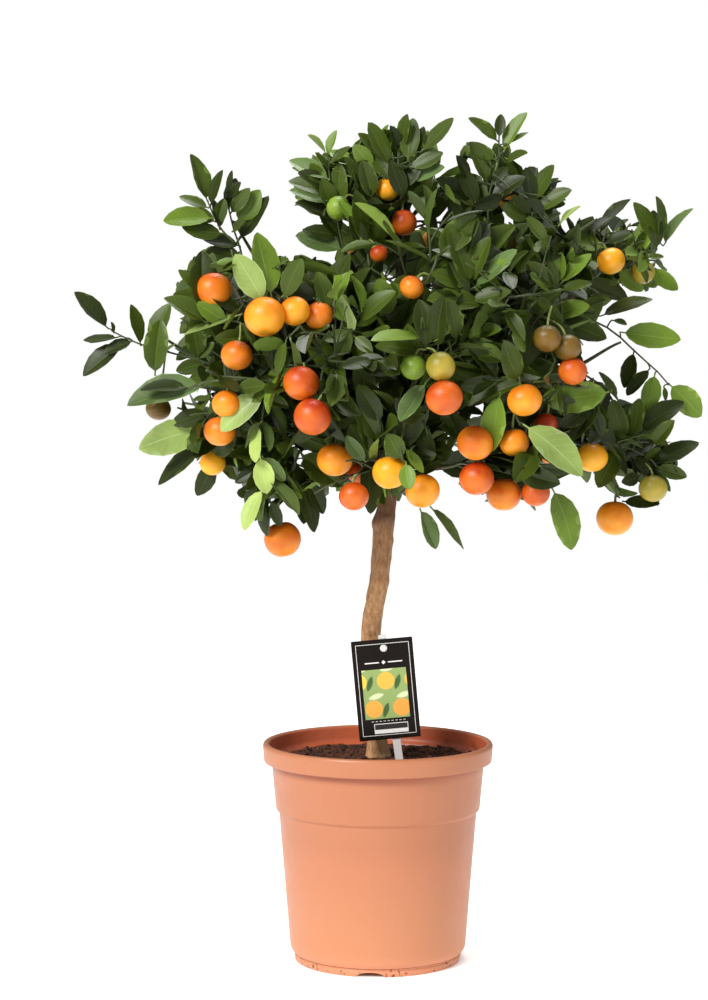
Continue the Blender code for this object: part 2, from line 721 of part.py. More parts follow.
def grow_mass(number, name):
    """The parts of a mass: its stem, then shoots, fruit and leaves. The stem is the first twig.
    Fruit hangs on a stalk from the nearest point of a twig. Leaves stand on the outer part of
    each twig, one of them at its end."""
    mass = masses[name]
    rng = np.random.default_rng((seed, number))
    middle = middles[number]
    end = limbs[name]["path"][-1]
    pole = unit(end - limbs[name]["path"][-2])
    start = end + pole * gap
    crown_way = unit(pole + unit(middle - crown_heart) + (0.0, 0.0, 0.3 * mass["lift"]))
    ways = shoot_ways(crown_way, shoots_per_mass, rng)
    tip = middle + ways[0] * reaches[number] * shoot_reach
    hold = start + pole * 0.45 * np.linalg.norm(tip - start)
    stem_path = bezier((start, hold, tip), 4)
    stem = sweep(stem_path, np.linspace(stem_radius, 0.75 * shoot_radius, 4), 3, (start, pole))

    sizes = [fruit[3] / 1000.0 for fruit in mass["fruit"]]
    spots = [kept_inside(np.array(fruit[:3]) / 1000.0, 0.5 * size, number)
             for fruit, size in zip(mass["fruit"], sizes)]
    kinds = ["ripe fruit" if fruit[4] > half_ripe else "green fruit" for fruit in mass["fruit"]]
    balls = [tree_of(fruit_shape(spot + (0.0, 0.0, 0.02), spot, size + 0.003))
             for spot, size in zip(spots, sizes)]
    twigs = [(stem_path, np.array(stem[0]).reshape(4, 3, 3), 0.62)]
    parts = []
    for place, way in enumerate(ways[1:]):
        root = 0.5 * (stem_path[1] + stem_path[2]) if place % 2 else stem_path[2]
        grown = grow_shoot(number, root, way, rng, balls)
        if grown:
            path, shape, tree = grown
            twigs.append((path, np.array(shape[0]).reshape(3, 3, 3), 0.30))
            parts.append(("twig", shape, tree))

    roots = np.concatenate([path[1:] * 0.6 + path[:-1] * 0.4 for path, _, _ in twigs])
    for kind, spot, size in zip(kinds, spots, sizes):
        above = spot + (0.0, 0.0, 0.5 * size + stalk_drop)
        far = np.linalg.norm(roots - above, axis=1)
        far[np.linalg.norm(roots - spot, axis=1) < 0.5 * size + 0.004] = 1.0
        root = roots[far.argmin()]
        shape = fruit_shape(root, spot, size)
        parts.append((kind, shape, tree_of(shape)))

    for path, rings, bare in twigs:
        for place in range(leaves_per_twig):
            part = bare + (0.97 - bare) * (1.0 - place / leaves_per_twig)
            spot = part * (len(path) - 1)
            low = int(spot)
            root = path[low] + (path[low + 1] - path[low]) * (spot - low)
            along = unit(path[low + 1] - path[low])
            grown = grow_leaf(number, root, along, rings[low], rng, place == 0, parts)
            if grown:
                parts.append(("leaf", *grown))
    return stem, parts


def fuse(target, group):
    """One union of the target with all of a collection, applied. A hollow that it seals and a
    scrap that hangs by nothing are left out. The collection and its objects are removed."""
    modifier = target.modifiers.new("union", "BOOLEAN")
    modifier.operation = "UNION"
    modifier.solver = "EXACT"
    modifier.material_mode = "TRANSFER"
    modifier.operand_type = "COLLECTION"
    modifier.collection = group
    graph = bpy.context.evaluated_depsgraph_get()
    fused = bpy.data.meshes.new_from_object(target.evaluated_get(graph))
    target.modifiers.remove(modifier)
    old = target.data
    target.data = fused
    bpy.data.meshes.remove(old)
    for part in list(group.objects):
        mesh = part.data
        bpy.data.objects.remove(part)
        bpy.data.meshes.remove(mesh)
    bpy.data.collections.remove(group)
    keep_main_body(target.data)


def keep_main_body(mesh):
    work = bmesh.new()
    work.from_mesh(mesh)
    bmesh.ops.triangulate(work, faces=work.faces)
    left = set(work.faces)
    bodies = []
    while left:
        reached = [left.pop()]
        body = set(reached)
        while reached:
            face = reached.pop()
            for edge in face.edges:
                for other in edge.link_faces:
                    if other in left:
                        left.remove(other)
                        body.add(other)
                        reached.append(other)
        bodies.append(body)
    bodies.sort(key=len)
    extra = [face for body in bodies[:-1] for face in body]
    bmesh.ops.delete(work, geom=extra, context="FACES")
    work.to_mesh(mesh)
    work.free()


def make_mass(number, name, materials):
    stem, parts = grow_mass(number, name)
    mass = make_object("leaves_" + name, stem, materials["twig"])
    group = bpy.data.collections.new("growth")
    bpy.context.scene.collection.children.link(group)
    for kind, shape, _ in parts:
        make_object(kind, shape, materials[kind], group)
    fuse(mass, group)
    return mass


def clear_scene():
    for old in list(bpy.data.objects):
        bpy.data.objects.remove(old)


def main():
    clear_scene()
    clay = make_material("terracotta coloured polypropylene", (0.80, 0.34, 0.19), 0.42)
    compost = make_material("compost", (0.045, 0.022, 0.012), 0.95)
    bark = make_material("citrus bark", (0.33, 0.19, 0.10), 0.80)
    card = make_material("black card", (0.018, 0.013, 0.012), 0.35)
    white = make_material("white polystyrene", (0.72, 0.70, 0.66), 0.40)
    growth = {
        "twig": make_material("green twig", (0.13, 0.19, 0.05), 0.60),
        "leaf": make_material("citrus leaf", (0.06, 0.13, 0.025), 0.38),
        "ripe fruit": make_material("ripe calamondin peel", (0.80, 0.20, 0.02), 0.35),
        "green fruit": make_material("unripe calamondin peel", (0.30, 0.28, 0.03), 0.35),
    }
    make_pot(clay)
    make_soil(compost)
    make_label(card, white)
    make_trunk(bark)
    for name in names:
        make_bough(name, bark)
    for number, name in enumerate(names):
        make_mass(number, name, growth)


main()
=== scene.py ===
import math

import bpy
import numpy as np
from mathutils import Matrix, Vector


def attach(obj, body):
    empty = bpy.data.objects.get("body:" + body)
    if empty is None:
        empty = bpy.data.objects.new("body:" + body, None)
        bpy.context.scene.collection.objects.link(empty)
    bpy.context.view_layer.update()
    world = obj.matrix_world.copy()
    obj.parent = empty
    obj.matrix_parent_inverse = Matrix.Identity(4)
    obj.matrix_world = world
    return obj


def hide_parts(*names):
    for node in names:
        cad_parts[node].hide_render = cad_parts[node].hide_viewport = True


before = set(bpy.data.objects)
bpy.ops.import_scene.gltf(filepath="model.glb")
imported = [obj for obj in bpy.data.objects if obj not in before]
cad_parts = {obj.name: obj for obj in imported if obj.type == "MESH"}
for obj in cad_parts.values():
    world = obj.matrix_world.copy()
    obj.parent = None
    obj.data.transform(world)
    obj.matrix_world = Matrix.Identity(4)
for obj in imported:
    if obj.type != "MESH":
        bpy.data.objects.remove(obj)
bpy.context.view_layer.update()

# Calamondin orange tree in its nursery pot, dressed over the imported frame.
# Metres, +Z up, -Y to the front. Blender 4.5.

scene = bpy.context.scene


# small tools

# unit vector of each row
def unit(vectors):
    return vectors / np.linalg.norm(vectors, axis=-1, keepdims=True)


# two unit vectors square to each way and to each other
def squareTo(ways, hint=(0.31, 0.83, 0.46)):
    across = unit(np.cross(ways, hint))
    return across, np.cross(ways, across)


# length walked along a path up to each of its points
def walkedAlong(path):
    return np.concatenate([[0.0], np.cumsum(np.linalg.norm(np.diff(path, axis=0), axis=1))])


# straight lines between knots, axis by axis, at one place or many
def between(wanted, knots, values):
    return np.stack([np.interp(wanted, knots, values[:, axis]) for axis in range(3)], axis=-1)


# points at given amounts along each set's own axes, from its start
def setOut(start, axes, amounts):
    steps = (axis[:, None, None] * amount[..., None] for axis, amount in zip(axes, amounts))
    return sum(steps, start[:, None, None])


# Bezier curve of any degree: each control point weighted by its Bernstein polynomial
def bezier(ends, count):
    ends = np.array(ends, dtype=float)
    degree = len(ends) - 1
    t = np.linspace(0.0, 1.0, count)[:, None]
    weights = [math.comb(degree, n) * t ** n * (1.0 - t) ** (degree - n) for n in range(degree + 1)]
    return sum(weight * end for weight, end in zip(weights, ends))


# line through given values: between two knots a cubic whose slopes are those of the chords beside them
def throughKnots(knots, values, wanted):
    slopes = np.gradient(values, knots, axis=0)
    low = np.clip(np.searchsorted(knots, wanted) - 1, 0, len(knots) - 2)
    span = (knots[low + 1] - knots[low])[:, None]
    t = (wanted - knots[low])[:, None] / span
    leaving = (t ** 3 - 2.0 * t ** 2 + t) * span * slopes[low]
    arriving = (t ** 3 - t ** 2) * span * slopes[low + 1]
    start = (2.0 * t ** 3 - 3.0 * t ** 2 + 1.0) * values[low] + leaving
    end = (3.0 * t ** 2 - 2.0 * t ** 3) * values[low + 1] + arriving
    return start + end


# smooth noise from -1 to 1: a hashed value at each corner of a cubic lattice, blended by 3t^2 - 2t^3
def smoothNoise(points, cell, layer):
    spots = np.asarray(points) / cell
    base = np.floor(spots).astype(np.int64)
    part = spots - base
    part = part * part * (3.0 - 2.0 * part)
    total = np.zeros(spots.shape[:-1])
    for corner in range(8):
        step = np.array(((corner >> 2) & 1, (corner >> 1) & 1, corner & 1))
        spot = base + step
        mixed = spot[..., 0] * 73856093 ^ spot[..., 1] * 19349663 ^ spot[..., 2] * 83492791 ^ layer * 9737333
        mixed = (mixed ^ (mixed >> 13)) * 1274126177 & 0x7FFFFFFF
        value = ((mixed ^ (mixed >> 15)) & 65535) / 32767.5 - 1.0
        total += value * np.prod(np.where(step == 1, part, 1.0 - part), axis=-1)
    return total


# A shape is points, the corners of its faces in one row, the number of corners of each face, for
# each point a pair of map values, and for each face its kind, which is the number of its material.
# The same faces are laid on many sets of points at once: sets by point by axis.
def makeShape(points, corners, sizes, uv, kinds):
    sets, count = points.shape[:2]
    uv = np.zeros((count, 2)) if uv is None else uv
    return {
        "points": points.reshape(-1, 3),
        "corners": (corners + np.arange(sets)[:, None] * count).ravel(),
        "sizes": np.tile(sizes, sets),
        "uv": np.broadcast_to(uv, (sets, count, 2)).reshape(-1, 2),
        "kinds": np.tile(kinds, sets),
    }


def joinShapes(shapes):
    starts = np.cumsum([0] + [len(shape["points"]) for shape in shapes[:-1]])
    joined = {key: np.concatenate([shape[key] for shape in shapes]) for key in shapes[0]}
    joined["corners"] = np.concatenate([shape["corners"] + start for shape, start in zip(shapes, starts)])
    return joined


# closed skin over rings of points, sets by rings by sides by axis. Each ring turns left about the
# way that the rings go, and a fan to its middle closes each end.
def ringShape(rings, uv=None, kind=0):
    sets, count, sides = rings.shape[:3]
    poles = rings[:, (0, -1)].mean(axis=2)
    points = np.concatenate([rings.reshape(sets, count * sides, 3), poles], axis=1)
    side = np.arange(sides)
    after = (side + 1) % sides
    low = (np.arange(count - 1) * sides)[:, None]
    quads = np.stack([low + side, low + after, low + sides + after, low + sides + side],
                     axis=-1).reshape(-1, 4)
    first = np.stack([np.full(sides, count * sides), after, side], axis=-1)
    last = (count - 1) * sides
    final = np.stack([np.full(sides, count * sides + 1), last + side, last + after], axis=-1)
    corners = np.concatenate([quads.ravel(), first.ravel(), final.ravel()])
    sizes = np.concatenate([np.full(len(quads), 4), np.full(2 * sides, 3)])
    if uv is not None:
        poleUv = uv[..., (0, -1), :, :].mean(axis=-2)
        uv = np.concatenate([uv.reshape(-1, count * sides, 2), poleUv.reshape(-1, 2, 2)], axis=1)
    return makeShape(points, corners, sizes, uv, np.full(len(sizes), kind))


# for each point of a path a circle of unit vectors square to the path
def circlesAlong(paths, sides):
    across, other = squareTo(unit(np.gradient(paths, axis=-2)))
    angle = np.linspace(0.0, 2.0 * np.pi, sides, endpoint=False)[:, None]
    return np.cos(angle) * across[..., None, :] + np.sin(angle) * other[..., None, :]


# tubes along paths, sets by points by axis
def tubeShape(paths, radii, sides):
    return ringShape(paths[:, :, None] + radii[:, :, None, None] * circlesAlong(paths, sides))


# profile of (radius, height) turned round Z: x = r cos a, y = r sin a
def turnedRings(profile, sides):
    angle = np.linspace(0.0, 2.0 * np.pi, sides, endpoint=False)
    radius = profile[:, 0:1]
    height = np.broadcast_to(profile[:, 1:2], (len(profile), sides))
    return np.stack([radius * np.cos(angle), radius * np.sin(angle), height], axis=-1)


# polyline whose corners are rounded: each corner gives way to a parabola that starts and ends
# its radius away from it, or at 0.45 of the shorter side
def roundedLine(points, radii, steps):
    points = np.array(points, dtype=float)
    line = [points[:1]]
    for before, corner, after, radius in zip(points, points[1:], points[2:], radii):
        into = corner - before
        away = after - corner
        reach = min(radius, 0.45 * np.linalg.norm(into), 0.45 * np.linalg.norm(away))
        ends = (corner - unit(into) * reach, corner, corner + unit(away) * reach)
        line.append(bezier(ends, steps) if radius > 0.0 else corner[None])
    line.append(points[-1:])
    return np.concatenate(line)


# an object from a shape. Where creases is given, edges that turn more than that stay sharp.
def makePiece(name, shape, materials, replaced=(), creases=None):
    mesh = bpy.data.meshes.new(name)
    mesh.vertices.add(len(shape["points"]))
    mesh.loops.add(len(shape["corners"]))
    mesh.polygons.add(len(shape["sizes"]))
    mesh.vertices.foreach_set("co", shape["points"].ravel())
    mesh.loops.foreach_set("vertex_index", shape["corners"])
    mesh.polygons.foreach_set("loop_start", np.concatenate([[0], np.cumsum(shape["sizes"])[:-1]]))
    mesh.polygons.foreach_set("material_index", shape["kinds"])
    mesh.polygons.foreach_set("use_smooth", np.ones(len(shape["sizes"]), dtype=bool))
    mesh.update(calc_edges=True)
    uvLayer = mesh.uv_layers.new(name="map")
    uvLayer.data.foreach_set("uv", shape["uv"][shape["corners"]].ravel())
    for material in materials:
        mesh.materials.append(material)
    mesh.validate()
    if creases:
        mesh.set_sharp_from_angle(angle=math.radians(creases))
    piece = bpy.data.objects.new(name, mesh)
    scene.collection.objects.link(piece)
    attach(piece, "root")
    if replaced:
        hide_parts(*replaced)
    return piece


# sRGB hex to the linear colour that nodes take
def linear(hexCode):
    parts = [int(hexCode[place:place + 2], 16) / 255.0 for place in (1, 3, 5)]
    return tuple(p / 12.92 if p <= 0.04045 else ((p + 0.055) / 1.055) ** 2.4 for p in parts) + (1.0,)


# inputs of a node: a value, a hex colour, a socket to link, or a node to link from its first output
# in use
def feed(node, inputs):
    for key, value in inputs.items():
        if isinstance(value, bpy.types.Node):
            value = next(socket for socket in value.outputs if socket.enabled)
        if isinstance(value, bpy.types.NodeSocket):
            node.id_data.links.new(value, node.inputs[key])
        else:
            node.inputs[key].default_value = linear(value) if isinstance(value, str) else value


# a node with its inputs, the stops of its colour ramp as place and hex colour, and its settings
def addNode(tree, kind, inputs={}, stops=(), **settings):
    node = tree.nodes.new("ShaderNode" + kind)
    for key, value in settings.items():
        setattr(node, key, value)
    if stops:
        ramp = node.color_ramp.elements
        for extra in stops[2:]:
            ramp.new(0.5)
        for element, (spot, colour) in zip(ramp, stops):
            element.position = spot
            element.color = linear(colour)
    feed(node, inputs)
    return node


# a dielectric to start from: its tree, its shader, and the socket of its own coordinates
def startMaterial(name, roughness, ior=1.5):
    material = bpy.data.materials.new(name)
    material.use_nodes = True
    tree = material.node_tree
    shader = tree.nodes["Principled BSDF"]
    feed(shader, {"Roughness": roughness, "IOR": ior})
    place = addNode(tree, "TexCoord").outputs["Object"]
    return material, tree, shader, place


print("tools ready")


# camera at the photograph's place

cameraView = {
    "place": (-0.0228, -2.45, 0.600),
    "down": 3.73,               # degrees below level
    "lens": 93.02,
}
cameraData = bpy.data.cameras.new("camera")
cameraData.sensor_fit = "AUTO"
cameraData.sensor_width = 36.0
cameraData.lens = cameraView["lens"]
camera = bpy.data.objects.new("camera", cameraData)
camera.location = cameraView["place"]
camera.rotation_euler = (math.radians(90.0 - cameraView["down"]), 0.0, 0.0)
scene.collection.objects.link(camera)
scene.camera = camera
scene.view_settings.view_transform = "Standard"

# plain white room: pale floor, wide soft light from the upper left, weaker from the right

studio = {
    "floor": 8.0,
    "glow": (0.55, 0.40),       # light of the floor itself to the camera, and to all else
    "foot": (0.070, 0.088),     # it fades from here to here of the pot's axis, and so leaves a shadow
    "room": 0.36,               # strength of the white all round
    "lights": (
        ("key light", (-1.6, -2.2, 2.2), (0.0, 0.0, 0.45), 1.3, 110.0),
        ("fill light", (2.4, -1.8, 1.0), (0.0, 0.0, 0.45), 1.6, 9.0),
        ("top light", (0.2, 0.7, 2.6), (0.0, 0.0, 0.60), 1.4, 44.0),
    ),
}


def makeStudio():
    white = (1.0, 1.0, 1.0, 1.0)
    world = bpy.data.worlds.new("white room")
    world.use_nodes = True
    tree = world.node_tree
    backdrop = tree.nodes["Background"]
    feed(backdrop, {"Color": white, "Strength": studio["room"]})
    seen = addNode(tree, "Background", {"Color": white, "Strength": 1.0})
    path = addNode(tree, "LightPath")
    both = addNode(tree, "MixShader", {0: path, 1: backdrop, 2: seen})
    feed(tree.nodes["World Output"], {"Surface": both})
    scene.world = world
    for name, place, target, size, power in studio["lights"]:
        light = bpy.data.lights.new(name, "AREA")
        light.shape = "DISK"
        light.size = size
        light.energy = power
        lamp = bpy.data.objects.new(name, light)
        lamp.location = place
        lamp.rotation_euler = (Vector(target) - Vector(place)).to_track_quat("-Z", "Y").to_euler()
        scene.collection.objects.link(lamp)
    # matt paper: white, no shine
    material, tree, shader, place = startMaterial("matt white paper", 0.95)
    grain = addNode(tree, "TexNoise", {"Vector": place, "Scale": 400.0})
    tint = addNode(tree, "MapRange", {0: grain, 3: 0.93, 4: 0.95})
    away = addNode(tree, "VectorMath", {0: place}, operation="LENGTH")
    ring = addNode(tree, "MapRange", {0: away, 1: studio["foot"][0], 2: studio["foot"][1]})
    sight = addNode(tree, "LightPath")
    shown = addNode(tree, "MapRange", {0: sight, 3: studio["glow"][1], 4: studio["glow"][0]})
    glow = addNode(tree, "Math", {0: ring, 1: shown}, operation="MULTIPLY")
    feed(shader, {"Base Color": tint, "Emission Color": white, "Emission Strength": glow})
    half = 0.5 * studio["floor"]
    mesh = bpy.data.meshes.new("floor")
    mesh.from_pydata([(-half, -half, 0.0), (half, -half, 0.0), (half, half, 0.0), (-half, half, 0.0)],
                     [], [(0, 1, 2, 3)])
    mesh.materials.append(material)
    floor = bpy.data.objects.new("floor", mesh)
    scene.collection.objects.link(floor)


makeStudio()
print("camera and studio ready")


# pot

potSize = {
    "sides": 320,
    "foot": (0.0758, 0.0795, 0.0805),   # radii of the ring that it stands on
    "footTop": 0.0049,
    "notches": 4,
    "notchWidth": 0.027,
    "notchHeight": 0.0044,
    "notchTurn": -0.095,
    "drains": 6,
    "drainRadius": 0.0045,
    "drainRing": 0.048,
    "floorTop": 0.0075,
}
# inner is painted light: the wall's own plastic, coloured redder and brighter for light shining through the
# thin wall
potColours = {"pale": "#D08A66", "inner": "#C4603A", "soil": "#3E2315"}
# colour of the wall at heights over 0.2 m, painted light and shade: paler to the foot where the floor lights
# it, darker up the wall in the crown's shade, and a painted shadow in a narrow band under the rim
wallPaintedShadeColours = ((0.035, "#DA9069"), (0.10, "#CE875E"), (0.23, "#C9835B"), (0.515, "#BF7853"),
               (0.62, "#B6724E"), (0.91, "#B6724E"), (0.948, "#A05537"), (0.958, "#B6734E"))

# profile as (radius, height, corner rounding), from the middle of the underside out, up and back in
potOutline = (
    (0.0000, 0.0000, 0.0), (0.0200, 0.0000, 0.0006), (0.0210, 0.0050, 0.0010), (0.0762, 0.0050, 0.0012),
    (0.0762, 0.0000, 0.0006), (0.0794, 0.0000, 0.0009), (0.0798, 0.0054, 0.0006), (0.0791, 0.0061, 0.0003),
    (0.0794, 0.0070, 0.0004), (0.0838, 0.0118, 0.0050), (0.0945, 0.1430, 0.0009), (0.0974, 0.1455, 0.0014),
    (0.1015, 0.1898, 0.0008), (0.1042, 0.1908, 0.0008), (0.1088, 0.1912, 0.0010), (0.1100, 0.2064, 0.0026),
    (0.1086, 0.2090, 0.0022), (0.1052, 0.2090, 0.0016), (0.1036, 0.2074, 0.0016), (0.1034, 0.1945, 0.0030),
    (0.0996, 0.1905, 0.0020), (0.0952, 0.1455, 0.0010), (0.0923, 0.1430, 0.0010), (0.0812, 0.0075, 0.0020),
    (0.0000, 0.0075, 0.0),
)


# polypropylene, injection moulded with a fine satin grain: a warm clay colour with a soft wide shine, in
# faint paler clouds, with painted light and shade by height (paler to the foot, a painted shadow under the
# rim), the inside painted redder for light through the wall, and compost dust inside the rim and round the
# foot
def makePolypropylene():
    material, tree, shader, place = startMaterial("moulded terracotta polypropylene", 0.42, 1.49)
    cloud = addNode(tree, "TexNoise", {"Vector": place, "Scale": 1.0 / 0.07, "Detail": 3.0})
    blend = addNode(tree, "MapRange", {0: cloud, 1: 0.35, 2: 0.7, 4: 0.12})
    parts = addNode(tree, "SeparateXYZ", {0: place})
    tall = addNode(tree, "Math", {0: parts.outputs["Z"], 1: 5.0}, operation="MULTIPLY")
    # painted light and shade up the wall, by height: paler foot, darker top, painted shadow under the rim
    paintedShadeClay = addNode(tree, "ValToRGB", {0: tall}, stops=wallPaintedShadeColours)
    wall = addNode(tree, "Mix", {0: blend, 6: paintedShadeClay, 7: potColours["pale"]}, data_type="RGBA")
    level = addNode(tree, "VectorMath", {0: place, 1: (1.0, 1.0, 0.0)}, operation="MULTIPLY")
    radius = addNode(tree, "VectorMath", {0: level}, operation="LENGTH")
    # inside: radius under the rim's inner edge, and above the compost
    inside = addNode(tree, "MapRange", {0: radius, 1: 0.1046, 2: 0.1036})
    high = addNode(tree, "MapRange", {0: parts.outputs["Z"], 1: 0.206, 2: 0.19})
    above = addNode(tree, "MapRange", {0: parts.outputs["Z"], 1: 0.1905, 2: 0.1915})
    inner = addNode(tree, "Math", {0: inside, 1: above}, operation="MULTIPLY")
    smear = addNode(tree, "TexNoise", {
        "Vector": place, "Scale": 1.0 / 0.016, "Detail": 5.0, "Roughness": 0.62})
    smeared = addNode(tree, "MapRange", {0: smear, 1: 0.52, 2: 0.66, 4: 0.8})
    spread = addNode(tree, "Math", {0: high, 1: smeared}, operation="MULTIPLY")
    dirt = addNode(tree, "Math", {0: inner, 1: spread}, operation="MULTIPLY")
    # foot: specks of compost caught in the groove
    low = addNode(tree, "MapRange", {0: parts.outputs["Z"], 1: 0.0085, 2: 0.0062})
    speck = addNode(tree, "TexNoise", {"Vector": place, "Scale": 1.0 / 0.0035, "Detail": 2.0})
    specks = addNode(tree, "MapRange", {0: speck, 1: 0.6, 2: 0.66, 4: 0.8})
    caught = addNode(tree, "Math", {0: low, 1: specks}, operation="MULTIPLY")
    allDirt = addNode(tree, "Math", {0: dirt, 1: caught}, operation="MAXIMUM")
    # painted light: the inside of the wall takes the redder inner colour, for light shining through the thin
    # wall
    litInsideWall = addNode(tree, "Mix", {0: inner, 6: wall, 7: potColours["inner"]}, data_type="RGBA")
    colour = addNode(tree, "Mix", {0: allDirt, 6: litInsideWall, 7: potColours["soil"]}, data_type="RGBA")
    dull = addNode(tree, "MapRange", {0: smear, 1: 0.3, 2: 0.7, 3: 0.38, 4: 0.5})
    # satin grain of the mould, 0.5 mm, drawn shallow
    grain = addNode(tree, "TexNoise", {"Vector": place, "Scale": 1.0 / 0.0005, "Detail": 1.0})
    bump = addNode(tree, "Bump", {"Strength": 0.1, "Distance": 0.0002, "Height": grain})
    feed(shader, {"Base Color": colour, "Roughness": dull, "Normal": bump})
    return material


# turned profile; round the foot each ring is lifted to height arch(a) = h sqrt(1 - (s / w)^2), where
# s is the distance along the ring from a notch's middle and w half its width
def makePot():
    outline = np.array(potOutline)
    line = roundedLine(outline[:, :2], outline[1:-1, 2], 5)
    line[:, 0] = np.maximum(line[:, 0], 0.0)
    rings = turnedRings(line[1:-1], potSize["sides"])
    angle = np.arctan2(rings[..., 0], -rings[..., 1])
    pitch = 2.0 * np.pi / potSize["notches"]
    turn = (angle - potSize["notchTurn"] + 0.5 * pitch) % pitch - 0.5 * pitch
    inner, middle, outer = potSize["foot"]
    beside = turn * middle / (0.5 * potSize["notchWidth"])
    arch = potSize["notchHeight"] * np.sqrt(np.clip(1.0 - beside ** 2, 0.0, None))
    radius = np.hypot(rings[..., 0], rings[..., 1])
    skirt = (radius > inner) & (radius < outer) & (rings[..., 2] < potSize["footTop"])
    rings[..., 2] = np.where(skirt, np.maximum(rings[..., 2], arch), rings[..., 2])
    shape = ringShape(rings[None])
    shape["points"][-2:] = ((0.0, 0.0, 0.0), (0.0, 0.0, potSize["floorTop"]))
    pot = makePiece("pot_body", shape, [makePolypropylene()], ["pot"])
    # drain holes, cut through the floor half a pitch round from the first notch
    turn = potSize["notchTurn"] + 2.0 * np.pi * (np.arange(potSize["drains"]) + 0.5) / potSize["drains"]
    ring = potSize["drainRing"]
    middles = np.stack([ring * np.sin(turn), -ring * np.cos(turn), np.zeros(len(turn))], axis=-1)
    paths = middles[:, None] + np.array(((0.0, 0.0, 0.002), (0.0, 0.0, 0.011)))
    holes = tubeShape(paths, np.full((len(middles), 2), potSize["drainRadius"]), 24)
    cutterMesh = bpy.data.meshes.new("drain cutter")
    faces = np.split(holes["corners"], np.cumsum(holes["sizes"])[:-1])
    cutterMesh.from_pydata(holes["points"].tolist(), [], [face.tolist() for face in faces])
    cutter = bpy.data.objects.new("drain cutter", cutterMesh)
    scene.collection.objects.link(cutter)
    cut = pot.modifiers.new("drains", "BOOLEAN")
    cut.operation = "DIFFERENCE"
    cut.solver = "EXACT"
    cut.object = cutter
    solid = bpy.data.meshes.new_from_object(pot.evaluated_get(bpy.context.evaluated_depsgraph_get()))
    pot.modifiers.remove(cut)
    pot.data = solid
    bpy.data.objects.remove(cutter)
    solid.set_sharp_from_angle(angle=math.radians(38.0))


makePot()
print("pot ready")


# compost

soilSize = {
    "sides": 260,
    "rings": 130,
    "wall": 0.0990,
    "spread": 0.0965,           # how far out the loose lumps lie
    "clods": ((0.017, 0.0016), (0.0075, 0.0018), (0.0035, 0.0013), (0.0018, 0.0006)),   # cell, height
    "crumbs": 760,
    "chips": 110,
    "grains": 26,
}
soilColours = {"dark": "#2C170C", "brown": "#63351D", "bark": "#7A5034", "grain": "#C9B79A"}


# peat and bark compost, loose: nearly black brown, matt, each crumb a little lighter or darker
def makeCompost(name, low, high, cell):
    material, tree, shader, place = startMaterial(name, 0.92)
    lump = addNode(tree, "TexVoronoi", {"Vector": place, "Scale": 1.0 / cell})
    fine = addNode(tree, "TexNoise", {"Vector": place, "Scale": 1.0 / 0.0016, "Detail": 4.0})
    both = addNode(tree, "Math", {0: lump.outputs["Color"], 1: fine}, operation="MULTIPLY")
    ramp = addNode(tree, "ValToRGB", {0: both}, stops=((0.06, low), (0.42, high)))
    bump = addNode(tree, "Bump", {"Strength": 0.7, "Distance": 0.0008, "Height": fine})
    feed(shader, {"Base Color": ramp, "Normal": bump})
    return material


# height of the compost: a low mound to the middle and layers of noise, the small ones sharpened
def soilHeight(x, y):
    radius = np.hypot(x, y)
    mound = throughKnots(np.array((0.0, 0.016, 0.036, 0.070, 0.0985)),
                         np.array(((0.1946,), (0.1940,), (0.1925,), (0.1908,), (0.1890,))), radius.ravel())
    height = mound.reshape(radius.shape)
    flat = np.stack([x, y, np.zeros_like(x)], axis=-1)
    for layer, (cell, rise) in enumerate(soilSize["clods"]):
        wave = smoothNoise(flat + 0.31 * layer, cell, layer + 5)
        height = height + rise * (wave if layer == 0 else 0.9 - 1.8 * np.abs(wave))
    return height


# closed body: wall and floor of the pot's inside, then rings across the top to its middle
def makeSoil():
    top = np.linspace(soilSize["wall"], 0.0006, soilSize["rings"])
    side = np.array(((0.0400, 0.0078), (0.0808, 0.0078), (0.0920, 0.1430), (0.0949, 0.1455),
                     (0.0989, 0.1860)))
    profile = np.concatenate([side, np.stack([top, np.zeros(len(top))], axis=-1)])
    rings = turnedRings(profile, soilSize["sides"])
    rings[len(side):, :, 2] = soilHeight(rings[len(side):, :, 0], rings[len(side):, :, 1])
    dark = makeCompost("peat compost", soilColours["dark"], soilColours["brown"], 0.0045)
    makePiece("compost", ringShape(rings[None]), [dark], ["soil"])


# lumps: a ball of three rings of six whose points are pushed in and out at random, stretched,
# turned and set on the compost; stretch gives length, width and height over the size
def makeLumps(name, count, sizes, stretch, seed, material):
    rng = np.random.default_rng(seed)
    spread = np.sqrt(rng.uniform(0.02, 1.0, count)) * soilSize["spread"]
    around = rng.uniform(0.0, 2.0 * np.pi, count)
    x = spread * np.cos(around)
    y = spread * np.sin(around)
    size = rng.uniform(*sizes, count)
    rise = np.array((-0.62, 0.0, 0.62))[:, None]
    ball = turnedRings(np.concatenate([np.sqrt(1.0 - rise ** 2), rise], axis=1), 6)
    ball = ball[None] * rng.uniform(0.72, 1.25, (count, 3, 6, 1))
    ball = ball * np.array(stretch) * rng.uniform(0.8, 1.2, (count, 1, 1, 3))
    turn = rng.uniform(0.0, 2.0 * np.pi, count)[:, None, None]
    tip = rng.uniform(-0.35, 0.35, count)[:, None, None]
    lifted = ball[..., 2] + ball[..., 0] * np.sin(tip)
    turned = np.stack([ball[..., 0] * np.cos(turn) - ball[..., 1] * np.sin(turn),
                       ball[..., 0] * np.sin(turn) + ball[..., 1] * np.cos(turn), lifted], axis=-1)
    places = np.stack([x, y, soilHeight(x, y) + 0.25 * size * stretch[2]], axis=-1)
    shape = ringShape(0.5 * size[:, None, None, None] * turned + places[:, None, None])
    makePiece(name, shape, [material])


